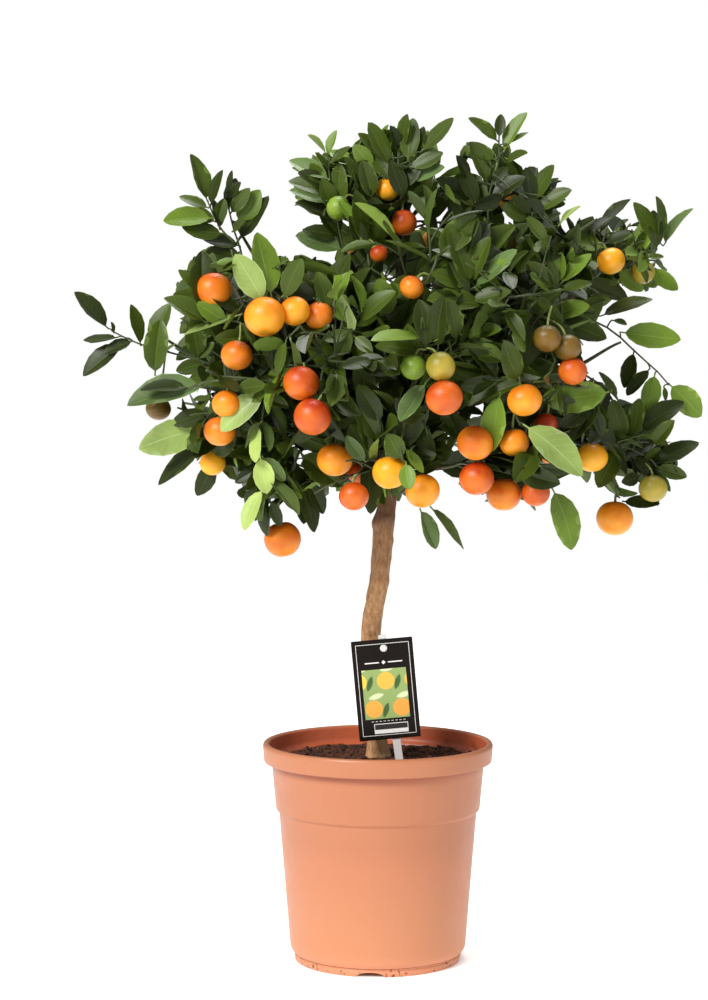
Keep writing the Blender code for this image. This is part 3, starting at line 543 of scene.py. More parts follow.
makeSoil()
makeLumps("compost_crumbs", soilSize["crumbs"], (0.0016, 0.0052), (1.0, 0.85, 0.70), 21,
          makeCompost("compost crumbs", soilColours["dark"], soilColours["brown"], 0.0060))
makeLumps("compost_bark_chips", soilSize["chips"], (0.0028, 0.0070), (1.0, 0.30, 0.16), 22,
          makeCompost("composted bark chips", soilColours["brown"], soilColours["bark"], 0.0080))
makeLumps("compost_grains", soilSize["grains"], (0.0010, 0.0017), (1.0, 0.9, 0.9), 23,
          makeCompost("perlite grains", soilColours["bark"], soilColours["grain"], 0.0100))
print("compost ready")


# plant label

labelSize = {
    "width": 0.058,
    "height": 0.095,
    "thick": 0.0009,
    "lean": 0.090,              # radians, top to the left
    "middle": (0.0072, 0.2639),
    "back": -0.0321,
    "corner": 0.0010,
    "ink": 0.00012,
    "stakeFoot": (0.0273, 0.1450),
    "stakeLean": 0.140,
    "stake": (0.0075, 0.172, 0.0016),
    "stakeFront": -0.0318,
    "peg": (0.0050, 0.3028),
}
labelColours = {"card": "#110A07", "ink": "#E9E6E1", "stake": "#D6D3CE", "band": "#1C1614",
                "fruit": "#F5D24E", "deep": "#F0A040", "leaf": "#3F5E28", "light": "#D5DCAE",
                "ground": "#90A662"}


# coated card, printed and laminated: deep black with a weak soft sheen
def makeCard():
    material, tree, shader, place = startMaterial("laminated black card", 0.25, 1.20)
    fibre = addNode(tree, "TexNoise", {"Vector": place, "Scale": 1.0 / 0.0012, "Detail": 3.0})
    tone = addNode(tree, "Mix", {0: fibre, 6: labelColours["card"], 7: "#1C1613"}, data_type="RGBA")
    dull = addNode(tree, "MapRange", {0: fibre, 3: 0.2, 4: 0.3})
    feed(shader, {"Base Color": tone, "Roughness": dull})
    return material


# white polystyrene or ink: a clean white, faintly uneven
def makeWhite(name, hexCode, roughness):
    material, tree, shader, place = startMaterial(name, roughness)
    cloud = addNode(tree, "TexNoise", {"Vector": place, "Scale": 1.0 / 0.006, "Detail": 2.0})
    tone = addNode(tree, "MapRange", {0: cloud, 3: 0.94, 4: 1.0})
    colour = addNode(tree, "Mix", {0: 1.0, 6: hexCode, 7: tone}, data_type="RGBA", blend_type="MULTIPLY")
    feed(shader, {"Base Color": colour})
    return material


# printed panel: half-drop rows of a plain disc and two leaf lenses over green, by the panel's own
# map. A disc is where the distance to its middle is small, a lens where two such distances both are.
def makePrint():
    material, tree, shader, place = startMaterial("laminated colour print", 0.45, 1.40)
    uv = addNode(tree, "UVMap", uv_map="map")
    big = addNode(tree, "VectorMath", {0: uv, 1: (1.6, 1.8, 0.0)}, operation="MULTIPLY")
    parts = addNode(tree, "SeparateXYZ", {0: big})
    row = addNode(tree, "Math", {0: parts.outputs[1]}, operation="FLOOR")
    across = addNode(tree, "Math", {0: row, 1: 0.5, 2: parts.outputs[0]}, operation="MULTIPLY_ADD")
    laid = addNode(tree, "CombineXYZ", {0: across, 1: parts.outputs[1]})
    cell = addNode(tree, "VectorMath", {0: laid}, operation="FRACTION")
    masks = []
    for middle, size in (((0.34, 0.37), 0.335), ((1.117, 0.167), 0.50), ((0.403, 0.433), 0.50),
                         ((0.359, 1.189), 0.50), ((0.541, 0.451), 0.50)):
        away = addNode(tree, "VectorMath", {0: cell, 1: (*middle, 0.0)}, operation="DISTANCE")
        mask = addNode(tree, "MapRange", {0: away, 1: size, 2: size - 0.04})
        masks.append(mask)
    leaf = addNode(tree, "Math", {0: masks[1], 1: masks[2]}, operation="MULTIPLY")
    light = addNode(tree, "Math", {0: masks[3], 1: masks[4]}, operation="MULTIPLY")
    number = addNode(tree, "VectorMath", {0: laid}, operation="FLOOR")
    wide = addNode(tree, "TexWhiteNoise", {"Vector": number}, noise_dimensions="2D")
    peel = addNode(tree, "Mix", {
        0: wide, 6: labelColours["fruit"], 7: labelColours["deep"]}, data_type="RGBA")
    colour = addNode(tree, "Mix", {
        0: leaf, 6: labelColours["ground"], 7: labelColours["leaf"]}, data_type="RGBA")
    for mask, tint in ((light, labelColours["light"]), (masks[0], peel)):
        colour = addNode(tree, "Mix", {0: mask, 6: colour, 7: tint}, data_type="RGBA")
    feed(shader, {"Base Color": colour})
    return material


# rounded rectangle as (x, z), turning left as seen from +Y's far side, so that plates face out
def plateOutline(width, height, corner, steps):
    quarter = np.linspace(0.0, 0.5 * np.pi, steps)
    parts = []
    for turn, (across, up) in enumerate(((1, 1), (-1, 1), (-1, -1), (1, -1))):
        angle = quarter + 0.5 * np.pi * turn
        parts.append(np.stack([across * (0.5 * width - corner) + corner * np.cos(angle),
                               up * (0.5 * height - corner) + corner * np.sin(angle)], axis=-1))
    return np.concatenate(parts)


# plate: the outline at the back, full size between two chamfers, and at the front. place is
# (x, z), and lean carries it round Y, top to the left.
def plateShape(width, height, corner, back, thick, chamfer, place, lean, steps=6, kind=0):
    rings = []
    for depth, inset in ((0.0, chamfer), (chamfer, 0.0), (thick - chamfer, 0.0), (thick, chamfer)):
        outline = plateOutline(width - 2.0 * inset, height - 2.0 * inset, max(corner - inset, 1e-5), steps)
        rings.append(np.stack([outline[:, 0], np.full(len(outline), back - depth), outline[:, 1]], axis=-1))
    rings = np.array(rings)
    uv = np.stack([rings[..., 0] / width + 0.5, rings[..., 2] / height + 0.5], axis=-1)
    return ringShape(leaned(rings, place, lean)[None], uv[None], kind)


def leaned(points, place, lean):
    cos = math.cos(lean)
    sin = math.sin(lean)
    x, y, z = np.moveaxis(points, -1, 0)
    return np.stack([place[0] + x * cos - z * sin, y, place[1] + x * sin + z * cos], axis=-1)


# a point of the card, in millimetres from its middle, as a place in the scene
def onCard(x, z):
    spot = leaned(np.array((x / 1000.0, 0.0, z / 1000.0)), labelSize["middle"], labelSize["lean"])
    return spot[0], spot[2]


def makeLabel():
    size = labelSize
    card = makeCard()
    white = makeWhite("white ink", labelColours["ink"], 0.45)
    band = makeWhite("dark ink", labelColours["band"], 0.45)
    cardShape = plateShape(size["width"], size["height"], size["corner"], size["back"], size["thick"],
                           0.00015, size["middle"], size["lean"])
    makePiece("label_board", cardShape, [card], ["label_card"], 30.0)
    front = size["back"] - size["thick"]
    ink = size["ink"]

    def slab(width, height, x, z, kind=0, layer=0, corner=0.2, turn=0.0):
        return plateShape(width / 1000.0, height / 1000.0, corner / 1000.0, front - layer * ink + 0.00002,
                          ink, 0.00003, onCard(x, z), size["lean"] + turn, 3, kind)

    # white line round the edge, the rules in place of the words, and the box at the foot
    lines = [slab(50.0, 0.5, 0.0, 43.2), slab(50.0, 0.5, 0.0, -43.2), slab(0.5, 86.9, -25.0, 0.0),
             slab(0.5, 86.9, 25.0, 0.0)]
    lines += [slab(13.5, 1.1, x, 25.6) for x in (-11.0, 11.0)]
    lines += [slab(2.8, 2.8, 0.0, 25.6, 0, 0, 0.2, 0.25 * math.pi)]
    lines += [slab(2.2, 0.5, -15.0 + 3.75 * step, -30.0) for step in range(9)]
    lines += [slab(32.0, 9.4, 2.0, -37.0), slab(30.8, 4.9, 2.0, -35.4, 1, 1)]
    makePiece("label_lines", joinShapes(lines), [white, band], (), 30.0)
    makePiece("label_panel", slab(42.0, 47.0, -0.5, -4.2), [makePrint()], (), 30.0)

    plastic = makeWhite("white polystyrene", labelColours["stake"], 0.38)
    wide, tall, thick = size["stake"]
    middle = leaned(np.array((0.0, 0.0, 0.5 * tall)), size["stakeFoot"], size["stakeLean"])
    stake = plateShape(wide, tall, 0.0016, size["stakeFront"] + thick, thick, 0.00025,
                       (middle[0], middle[2]), size["stakeLean"])
    # push-in button: a shaft through the card, then a low domed head
    profile = np.array(((0.0026, 0.0), (0.0026, 0.0030), (0.0034, 0.0031), (0.0034, 0.0036), (0.0029, 0.0041),
                        (0.0016, 0.0044), (0.0004, 0.0045)))
    angle = np.linspace(0.0, 2.0 * np.pi, 28, endpoint=False)
    depth = np.broadcast_to(-profile[:, 1:2], (len(profile), 28)) + size["stakeFront"] + 0.0012
    rings = np.stack([size["peg"][0] + profile[:, 0:1] * np.cos(angle), depth,
                      size["peg"][1] + profile[:, 0:1] * np.sin(angle)], axis=-1)
    shape = joinShapes([stake, ringShape(rings[None])])
    makePiece("label_stick", shape, [plastic], ["label_stake"], 30.0)


makeLabel()
print("label ready")


# limbs

# height, sideways and depth place, radius
trunkLine = np.array((
    (0.1880, 0.0006, 0.0000, 0.0150), (0.1950, 0.0000, 0.0000, 0.0128), (0.2010, -0.0003, 0.0000, 0.0112),
    (0.2200, -0.0020, 0.0004, 0.0102), (0.2500, -0.0048, 0.0010, 0.0098), (0.2850, -0.0066, 0.0014, 0.0096),
    (0.3250, -0.0055, 0.0012, 0.0094), (0.3650, 0.0012, 0.0006, 0.0093), (0.4000, 0.0044, 0.0000, 0.0098),
    (0.4130, 0.0052, -0.0004, 0.0099), (0.4220, 0.0060, -0.0006, 0.0102), (0.4330, 0.0080, -0.0006, 0.0091),
    (0.4600, 0.0112, 0.0000, 0.0086), (0.4900, 0.0140, 0.0006, 0.0082), (0.5200, 0.0155, 0.0008, 0.0074),
    (0.5420, 0.0160, 0.0008, 0.0064),
))
barkSize = {
    "rows": 330,
    "sides": 84,
    # height, angle from +X, how far it stands out, its length and its width along the bark
    "knobs": ((0.4185, 3.05, 0.0015, 0.0055, 0.0055), (0.4010, -0.25, 0.0010, 0.0045, 0.0050),
              (0.4240, -1.35, 0.0014, 0.0035, 0.0050), (0.3620, -0.10, 0.0012, 0.0050, 0.0060),
              (0.4120, -2.00, -0.0012, 0.0030, 0.0060), (0.3000, 2.40, 0.0008, 0.0050, 0.0045),
              (0.2350, -0.90, 0.0008, 0.0050, 0.0050)),
    "flare": 0.20,              # how far the root lobes stand out, of the radius
}
# inner is a painted shade colour for the bark inside the crown
barkColours = {"tan": "#BD8D5E", "grey": "#A0734A", "dark": "#573724", "green": "#86805A", "high": "#4E2C16",
               "inner": "#2E2118"}


# citrus bark, several years old: tan with fine upright cracks and dark dots, browner above the knob where the
# shoot was budded on, painted shade nearly black inside the crown, greenish low on one side
def makeBark():
    material, tree, shader, place = startMaterial("citrus bark", 0.78)
    parts = addNode(tree, "SeparateXYZ", {0: place})
    drawn = addNode(tree, "Mapping", {"Vector": place, "Scale": (1.0, 1.0, 0.38)})
    streak = addNode(tree, "TexNoise", {
        "Vector": drawn, "Scale": 1.0 / 0.003, "Detail": 5.0, "Roughness": 0.65})
    tan = addNode(tree, "ValToRGB", {0: streak}, stops=(
        (0.26, barkColours["dark"]), (0.38, barkColours["grey"]), (0.52, barkColours["tan"]),
        (0.74, "#D6AB7E")))
    patch = addNode(tree, "TexNoise", {"Vector": place, "Scale": 1.0 / 0.022, "Detail": 3.0})
    low = addNode(tree, "MapRange", {0: parts.outputs["Z"], 1: 0.38, 2: 0.24})
    side = addNode(tree, "MapRange", {0: parts.outputs["X"], 1: -0.006, 2: 0.008})
    mossy = addNode(tree, "Math", {0: low, 1: side}, operation="MULTIPLY")
    mossier = addNode(tree, "Math", {0: mossy, 1: patch}, operation="MULTIPLY")
    greened = addNode(tree, "Mix", {0: mossier, 6: tan, 7: barkColours["green"]}, data_type="RGBA")
    upper = addNode(tree, "MapRange", {0: parts.outputs["Z"], 1: 0.34, 2: 0.38, 4: 0.4})
    high = addNode(tree, "MapRange", {0: parts.outputs["Z"], 1: 0.402, 2: 0.422, 4: 0.85})
    brown = addNode(tree, "Math", {0: upper, 1: high}, operation="MAXIMUM")
    browned = addNode(tree, "Mix", {0: brown, 6: greened, 7: barkColours["high"]}, data_type="RGBA")
    # painted shade: the bark turns nearly black inside the crown, where the leaves shade it
    within = addNode(tree, "MapRange", {0: parts.outputs["Z"], 1: 0.44, 2: 0.475, 4: 0.8})
    crownShaded = addNode(tree, "Mix", {0: within, 6: browned, 7: barkColours["inner"]}, data_type="RGBA")
    # dark dots: pores 0.5 mm wide, 2 mm apart
    dots = addNode(tree, "TexVoronoi", {"Vector": place, "Scale": 1.0 / 0.0024})
    dotted = addNode(tree, "MapRange", {0: dots, 1: 0.26, 2: 0.14, 4: 0.4})
    colour = addNode(tree, "Mix", {0: dotted, 6: crownShaded, 7: barkColours["dark"]}, data_type="RGBA")
    bump = addNode(tree, "Bump", {"Strength": 0.5, "Distance": 0.0008, "Height": streak})
    feed(shader, {"Base Color": colour, "Normal": bump})
    return material


# upright ridges and cracks: noise on points whose height is drawn out, folded so that its zero
# lines become cracks, plus coarser waves
def barkRelief(points, depth):
    drawn = points * np.array((1.0, 1.0, 0.22))
    crack = np.abs(smoothNoise(drawn, 0.0026, 41)) ** 0.6
    return depth * (0.55 * (crack - 0.5) + 0.7 * smoothNoise(points, 0.011, 42)
                    + 0.35 * smoothNoise(drawn, 0.0013, 43))


# trunk: a tube along the drawn line, its radius swelling at knobs (bell curves in height and
# angle), spreading in lobes at the root, and roughened by the relief
def makeTrunk(material):
    rows = np.linspace(trunkLine[0, 0], trunkLine[-1, 0], barkSize["rows"])
    line = throughKnots(trunkLine[:, 0], trunkLine[:, 1:], rows)
    path = np.stack([line[:, 0], line[:, 1], rows], axis=-1)
    angle = np.linspace(0.0, 2.0 * np.pi, barkSize["sides"], endpoint=False)
    radius = np.broadcast_to(line[:, 2:3], (len(rows), len(angle))).copy()
    for height, turn, out, tall, wide in barkSize["knobs"]:
        away = (angle - turn + np.pi) % (2.0 * np.pi) - np.pi
        radius += out * np.exp(-((rows[:, None] - height) / tall) ** 2 - (away * 0.0095 / wide) ** 2)
    lobes = np.exp(-(rows[:, None] - 0.190) / 0.0075) * np.cos(3.0 * angle + 0.8)
    radius *= 1.0 + barkSize["flare"] * lobes
    circle = np.stack([np.cos(angle), np.sin(angle), np.zeros(len(angle))], axis=-1)
    plain = path[:, None] + radius[..., None] * circle
    radius += barkRelief(plain, 0.0006)
    rings = path[:, None] + radius[..., None] * circle
    makePiece("trunk_bark", ringShape(rings[None]), [material], ["trunk"])


crown = {
    "heart": np.array((0.010, 0.0, 0.590)),
    "seed": 11,
    "taper": 0.58,
    "leader": 0.0056,
    "bough": 0.0044,
    "side": 0.0030,
    "stem": 0.0021,
    "shoots": 11,               # to each mass, the stem's own end among them
    "reach": (0.66, 0.86),      # how far they go, of the mass's reach
    "shoot": 0.0012,
    "twig": 0.0009,
    "spacing": 0.0080,          # between leaves along a shoot
    "lengths": (0.044, 0.066),
    "turn": 0.75,
    "swing": 0.24,
}

# middle and reach in millimetres, limb that carries it and how far along, lift of its leaves, and
# its fruit as place, diameter and ripeness, where ripeness over 0.20 up to 0.32 picks an olive peel darkened
# as painted shade
masses = {
    "top_centre": ((26, 0, 729), (89, 102, 80), "trunk", 1.0, 0.5,
                   ((8, -50, 731, 22, 0.6), (23, -60, 700, 24, 0.9))),
    "top_centre_left": ((-49, -18, 714), (79, 102, 76), "top_centre", 0.42, 0.5, ((-37, -66, 713, 22, 0.0),)),
    "top_right": ((111, 5, 739), (79, 108, 71), "top_centre", 0.52, 0.6, ((128, 48, 728, 26, 0.7),)),
    "top_back": ((19, 102, 718), (112, 95, 79), "top_centre", 0.62, 0.4,
                 ((-14, 190, 676, 30, 0.8), (60, 184, 690, 28, 0.6))),
    "front_high": ((26, -119, 661), (89, 91, 74), "top_centre", 0.3, 0.1,
                   ((28, -162, 639, 21, 0.8), (0, -90, 671, 16, 0.95))),
    "top_left": ((-137, -19, 704), (84, 108, 79), "trunk", 0.905, 0.7, ()),
    "left_front_high": ((-113, -112, 631), (79, 91, 76), "top_left", 0.45, 0.0,
                        ((-148, -135, 637, 32, 0.8), (-101, -182, 613, 35, 0.7))),
    "left_back_high": ((-140, 112, 637), (99, 108, 86), "top_left", 0.62, 0.2,
                       ((-120, 170, 628, 32, 0.7), (-175, 150, 612, 30, 0.8))),
    "left_arm": ((-208, -14, 597), (86, 95, 70), "trunk", 0.845, 0.2, ()),
    "left_low": ((-168, -33, 511), (84, 108, 71), "left_arm", 0.55, -0.2,
                 ((-206, -30, 528, 23, 0.3), (-152, -88, 480, 23, 0.6))),
    "left_front": ((-130, -112, 548), (76, 89, 69), "left_arm", 0.36, -0.1,
                   ((-127, -150, 579, 28, 0.8), (-136, -160, 536, 25, 0.7), (-143, -140, 511, 28, 0.8))),
    "right_top": ((231, 5, 675), (79, 104, 69), "trunk", 0.93, 0.6,
                  ((218, -20, 666, 26, 0.5), (250, 0, 656, 23, 0.4))),
    "upper_right": ((151, -28, 685), (71, 108, 66), "right_top", 0.5, 0.4, ()),
    "right_front_high": ((112, -120, 636), (79, 89, 71), "right_top", 0.32, 0.0, ((137, -85, 669, 18, 0.9),)),
    "right_back_high": ((149, 117, 646), (99, 108, 89), "right_top", 0.62, 0.2,
                        ((190, 206, 622, 31, 0.8), (125, 204, 640, 30, 0.5))),
    "right_arm": ((230, 0, 590), (84, 104, 64), "trunk", 0.865, 0.1, ()),
    "right_low": ((214, -19, 490), (97, 108, 81), "right_arm", 0.5, -0.3,
                  ((197, -64, 484, 29, 0.6), (254, -62, 455, 26, 0.4), (221, -40, 426, 34, 0.7))),
    "right_front": ((138, -131, 571), (79, 84, 71), "right_arm", 0.34, -0.1,
                    ((127, -180, 540, 30, 0.7), (147, -172, 594, 25, 0.3), (166, -162, 586, 24, 0.3),
                     (171, -158, 565, 25, 0.9))),
    "front": ((34, -177, 571), (76, 79, 76), "trunk", 0.9, -0.2,
              ((52, -216, 570, 25, 0.4), (55, -221, 543, 31, 1.0), (29, -194, 569, 22, 0.1))),
    "left_middle_front": ((-53, -158, 581), (76, 84, 84), "front", 0.45, -0.1,
                          ((-75, -172, 618, 26, 0.7), (-54, -154, 614, 25, 0.8), (-69, -190, 555, 31, 1.0),
                           (-59, -200, 526, 32, 1.0))),
    "low_front": ((-16, -125, 488), (79, 99, 79), "trunk", 0.79, -0.5,
                  ((-40, -150, 486, 31, 0.7), (-23, -174, 455, 26, 0.9), (9, -168, 476, 31, 0.6),
                   (-18, -110, 472, 20, 0.9))),
    "left_pendant": ((-95, -73, 455), (76, 86, 76), "low_front", 0.34, -0.8,
                     ((-88, -100, 411, 33, 0.8), (-124, -99, 484, 17, 0.0))),
    "low_right_front": ((92, -121, 486), (89, 108, 97), "trunk", 0.82, -0.5,
                        ((38, -160, 459, 30, 0.7), (84, -172, 502, 32, 0.8), (119, -165, 502, 26, 0.7),
                         (86, -160, 470, 30, 0.9), (112, -130, 454, 31, 0.8), (140, -140, 456, 25, 0.9),
                         (149, -138, 517, 21, 1.0))),
    "back": ((1, 182, 627), (102, 99, 89), "trunk", 0.885, 0.1,
             ((-34, 252, 604, 31, 0.8), (44, 236, 597, 28, 0.6))),
    "low_back": ((12, 154, 506), (91, 108, 81), "back", 0.34, -0.4,
                 ((0, 200, 470, 32, 0.8), (40, 190, 500, 27, 0.5))),
    "low_left_back": ((-121, 98, 515), (97, 108, 79), "trunk", 0.805, -0.3,
                      ((-150, 140, 480, 30, 0.8), (-100, 150, 515, 26, 0.3))),
    "low_right_back": ((139, 98, 520), (99, 108, 81), "trunk", 0.835, -0.3,
                       ((170, 140, 480, 32, 0.8), (128, 152, 512, 27, 0.7))),
}
massNames = list(masses)
massMiddles = np.array([masses[name][0] for name in massNames]) / 1000.0
massReaches = np.array([masses[name][1] for name in massNames]) / 1000.0
limbs = {}


# place, direction and radius at a part of a limb's length
def alongLimb(name, part):
    path, radii = limbs[name]
    lengths = walkedAlong(path)
    wanted = part * lengths[-1]
    way = unit(between(wanted, lengths, unit(np.gradient(path, axis=0))))
    return between(wanted, lengths, path), way, np.interp(wanted, lengths, radii)


# line and radii of a bough: from its parent's side it sets off outwards and a little along the
# parent, and ends where its mass begins, pointing at the mass's middle
def boughLine(name):
    middle, reach, limb, at, lift = masses[name][:5]
    middle = np.array(middle) / 1000.0
    reach = np.array(reach) / 1000.0
    place, way, girth = alongLimb(limb, at)
    out = unit(middle - place)
    if at == 1.0:
        first = way
        start = place
        radius = crown["leader"]
    else:
        first = unit(out + way * (0.45 if limb == "trunk" else 0.25))
        normal = unit(first - way * first.dot(way))
        start = place + normal * girth
        radius = crown["bough"] if limb == "trunk" else crown["side"]
    radius = min(radius, 0.82 * girth)
    back = unit((place - middle) / reach + (0.0, 0.0, -0.35 - 0.3 * lift))
    end = middle + back * reach * 0.62
    last = unit(middle - end + 0.35 * out * np.linalg.norm(middle - end))
    hold = np.linalg.norm(end - start)
    count = 7 if limb == "trunk" else 5
    path = bezier((start, start + first * hold * 0.36, end - last * hold * 0.30, end), count)
    return path, np.linspace(radius, max(radius * crown["taper"], crown["stem"] * 1.08), len(path)), girth


# boughs: each line drawn finer, started inside its parent under a swollen collar, and roughened
def makeBoughs(material):
    rings = []
    for name in massNames:
        path, radii, girth = boughLine(name)
        limbs[name] = (path, radii)
        knots = np.linspace(0.0, 1.0, len(path))
        fine = np.linspace(0.0, 1.0, 64)
        line = throughKnots(knots, path, fine)
        girths = np.interp(fine, knots, radii)
        buried = line[0] + unit(line[0] - line[1]) * girth * 0.7
        line = np.concatenate([[buried], line])
        girths = np.concatenate([[girths[0]], girths])
        girths = girths * (1.0 + 0.45 * np.exp(-walkedAlong(line) / (1.6 * girth)))
        circles = circlesAlong(line, 18)
        relief = barkRelief(line[:, None] + girths[:, None, None] * circles, 0.0005)
        rings.append(line[:, None] + (girths[:, None] + relief)[..., None] * circles)
    nodes = ["bough_" + name for name in massNames]
    makePiece("bough_bark", ringShape(np.array(rings)), [material], nodes)


bark = makeBark()
makeTrunk(bark)
limbs["trunk"] = (trunkLine[1:, (1, 2, 0)], trunkLine[1:, 3])
makeBoughs(bark)
print("trunk and boughs ready")


# crown

fruits = np.array([(number, *fruit) for number, name in enumerate(massNames) for fruit in masses[name][5]])
fruitMiddles = fruits[:, 1:4] / 1000.0
fruitRadii = fruits[:, 4] / 1940.0
eye = np.array(cameraView["place"])
down = math.radians(cameraView["down"])
focal = cameraView["lens"] / 36.0 * 1000.0
limbPoints = np.concatenate([throughKnots(np.linspace(0.0, 1.0, len(path)), path, np.linspace(0.0, 1.0, 16))
                             for path, radii in limbs.values()])
shootPaths = []                 # every twig as nine points
shootRadii = []
leafRows = []                   # root, way, face, length, width over length, colour group, how curled
leafSpots = np.zeros((0, 3))
frontFruit = [(middle, radius) for middle, radius in zip(fruitMiddles, fruitRadii)
              if middle[1] < 0.0 and radius > 0.0096]
keptClear = [(middle, (0.75 if radius > 0.0106 else 0.2) * radius + 0.006) for middle, radius in frontFruit]


# where a point of the 708 x 1000 frame lies at a given depth, and the other way round: the ray
# through the frame's point is forwards + right dx - up dy
def frameSpot(x, y, depth):
    dx = (x - 354.0) / focal
    dy = (y - 500.0) / focal
    ray = np.array((dx, math.cos(down) - dy * math.sin(down), -math.sin(down) - dy * math.cos(down)))
    return eye + ray * (depth - eye[1]) / ray[1]


def seenAt(points):
    offset = points - eye
    forward = offset[..., 1] * math.cos(down) - offset[..., 2] * math.sin(down)
    upward = offset[..., 1] * math.sin(down) + offset[..., 2] * math.cos(down)
    return 354.0 + focal * offset[..., 0] / forward, 500.0 - focal * upward / forward


# clear sky seen from the front: the crown's rough outline, and gaps as middle and half size
crownOutline = np.array((
    (290, 168), (312, 150), (345, 152), (362, 135), (385, 124), (425, 120), (440, 135), (434, 175),
    (450, 182), (462, 152), (480, 140), (505, 140), (520, 168), (560, 172), (566, 196), (578, 218),
    (640, 218), (664, 232), (660, 262), (668, 282), (640, 292), (606, 302), (592, 318), (604, 342),
    (582, 350), (584, 374), (606, 380), (622, 394), (672, 402), (672, 440), (684, 472), (664, 502),
    (620, 500), (600, 486), (576, 474), (556, 486), (540, 506), (470, 500), (452, 462), (436, 472),
    (410, 500), (372, 512), (345, 486), (326, 500), (330, 520), (262, 532), (236, 484), (226, 458),
    (196, 470), (178, 440), (176, 400), (166, 380), (178, 340), (182, 310), (172, 296), (188, 262),
    (206, 244), (216, 236), (250, 262), (285, 252), (304, 258), (336, 256), (332, 226), (296, 202),
), dtype=float)
skyGaps = np.array((
    (350, 372, 11, 7), (376, 385, 11, 5), (391, 284, 6, 15), (396, 318, 5, 7), (480, 404, 13, 10),
    (446, 424, 9, 5), (455, 452, 8, 9), (303, 452, 12, 7), (284, 516, 9, 9), (519, 348, 7, 5),
    (543, 325, 5, 5), (245, 366, 6, 5), (468, 228, 5, 11), (338, 262, 22, 4), (596, 360, 14, 12),
    (240, 443, 6, 6), (292, 412, 6, 5), (500, 214, 4, 12), (416, 384, 6, 10), (326, 245, 12, 6),
    (418, 270, 4, 5), (556, 452, 10, 8), (630, 430, 5, 4), (205, 404, 8, 6), (566, 226, 9, 10),
    (513, 213, 8, 7), (440, 208, 5, 11), (213, 395, 6, 9), (187, 427, 8, 6), (300, 472, 9, 5),
    (475, 427, 7, 7), (277, 533, 7, 6),
), dtype=float)


# even-odd rule: a point is inside when a line from it crosses the outline an odd number of times
def inOutline(x, y):
    ax, ay = crownOutline.T
    bx, by = np.roll(crownOutline, -1, axis=0).T
    x = x[..., None]
    y = y[..., None]
    crosses = ((ay > y) != (by > y)) & (x < (bx - ax) * (y - ay) / (by - ay + 1e-9) + ax)
    return crosses.sum(axis=-1) % 2 == 1


def inSky(points):
    x, y = seenAt(points)
    gx, gy, gw, gh = skyGaps.T
    gap = (((x[..., None] - gx) / gw) ** 2 + ((y[..., None] - gy) / gh) ** 2 < 1.0).any(axis=-1)
    return gap | ~inOutline(x, y)


# even ways round a pole, most of them to its front: two irrational steps, for any count
def shootWays(pole, count, rng):
    sideWay, otherWay = squareTo(pole, (0.2, 0.9, 0.4))
    number = np.arange(count)
    rise = 1.0 - 1.30 * ((0.10 + number * 0.7548777) % 1.0)
    angle = 2.0 * np.pi * ((0.5 + number * 0.5698403) % 1.0) + rng.uniform(-0.35, 0.35, count)
    flat = np.sqrt(np.clip(1.0 - rise * rise, 0.0, None))[:, None]
    around = np.cos(angle)[:, None] * sideWay + np.sin(angle)[:, None] * otherWay
    return pole * rise[:, None] + flat * around


# a home is the middle, reach and lift of what a leaf grows in: a mass, or the space inside them all
homes = [(massMiddles[number], massReaches[number], masses[name][4]) for number, name in enumerate(massNames)]
innerHome = (crown["heart"], np.array((0.250, 0.205, 0.165)), 0.2)


def beyondHome(points, home):
    return np.linalg.norm((points - home[0]) / home[1], axis=-1)


# for each point and each ball, true where the point is nearer to the eye and in front of the ball
def hides(points, balls, margin=0.0):
    middles = np.array([middle for middle, radius in balls])
    radii = np.array([radius for middle, radius in balls])
    sight = unit(middles - eye)
    offset = points[..., None, :] - eye
    depth = (offset * sight).sum(axis=-1)
    aside = np.linalg.norm(offset - depth[..., None] * sight, axis=-1)
    return (depth < np.linalg.norm(middles - eye, axis=-1) + margin) & (aside < radii)


# true for each set of points of which one lies in a fruit, hides what is kept clear from the front,
# or touches a limb
def blocked(sets):
    away = np.linalg.norm(sets[:, :, None] - fruitMiddles, axis=-1)
    inFruit = (away < fruitRadii + 0.0020).any(axis=(1, 2))
    hiding = hides(sets, keptClear, 0.002).any(axis=(1, 2))
    limbAway = np.linalg.norm(sets[:, :, None] - limbPoints, axis=-1).min(axis=(1, 2))
    return inFruit | hiding | (limbAway < 0.007)


# a leaf from a twig: of several ways it may point, it takes the one with most room round it
def growLeaf(home, root, along, around, lean, length, rng, group):
    global leafSpots
    tries = 10
    turns = rng.uniform(-1.0, 1.0, (tries, 3))
    swings = rng.uniform(-1.0, 1.0, (tries, 3))
    leans = lean + rng.uniform(-0.2, 0.2, (tries, 1))
    ways = unit(np.cos(leans) * along + np.sin(leans) * around + (0.0, 0.0, 0.60 * home[2])
                + crown["swing"] * swings)
    faces = (unit(root - crown["heart"]) * 0.55 + (0.0, 0.0, 0.50) + 0.75 * along
             + crown["turn"] * turns)
    faces = unit(faces - ways * (faces * ways).sum(axis=-1, keepdims=True))
    parts = np.array((0.35, 0.65, 1.0))
    spots = root + ways[:, None] * parts[:, None] * length
    far = beyondHome(spots, home).max(axis=1)
    room = np.full(tries, 0.03)
    if len(leafSpots):
        room = np.linalg.norm(spots[:, :, None] - leafSpots, axis=-1).min(axis=(1, 2))
    sideways = np.array((-0.2, 0.2))[:, None] * np.cross(ways, faces)[:, None]
    edges = root + (0.55 * ways[:, None] + sideways) * length
    blade = np.concatenate([spots, edges], axis=1)
    barred = blocked(blade) | (far > 1.04) | inSky(blade).any(axis=1)
    score = np.minimum(room, 0.030) - np.where(barred, 1.0, 0.0)
    best = score.argmax()
    if score[best] < 0.0035:
        return False
    leafRows.append((root, ways[best], faces[best], length, rng.uniform(0.37, 0.50), group, 1.0))
    leafSpots = np.concatenate([leafSpots, spots[best]])
    return True


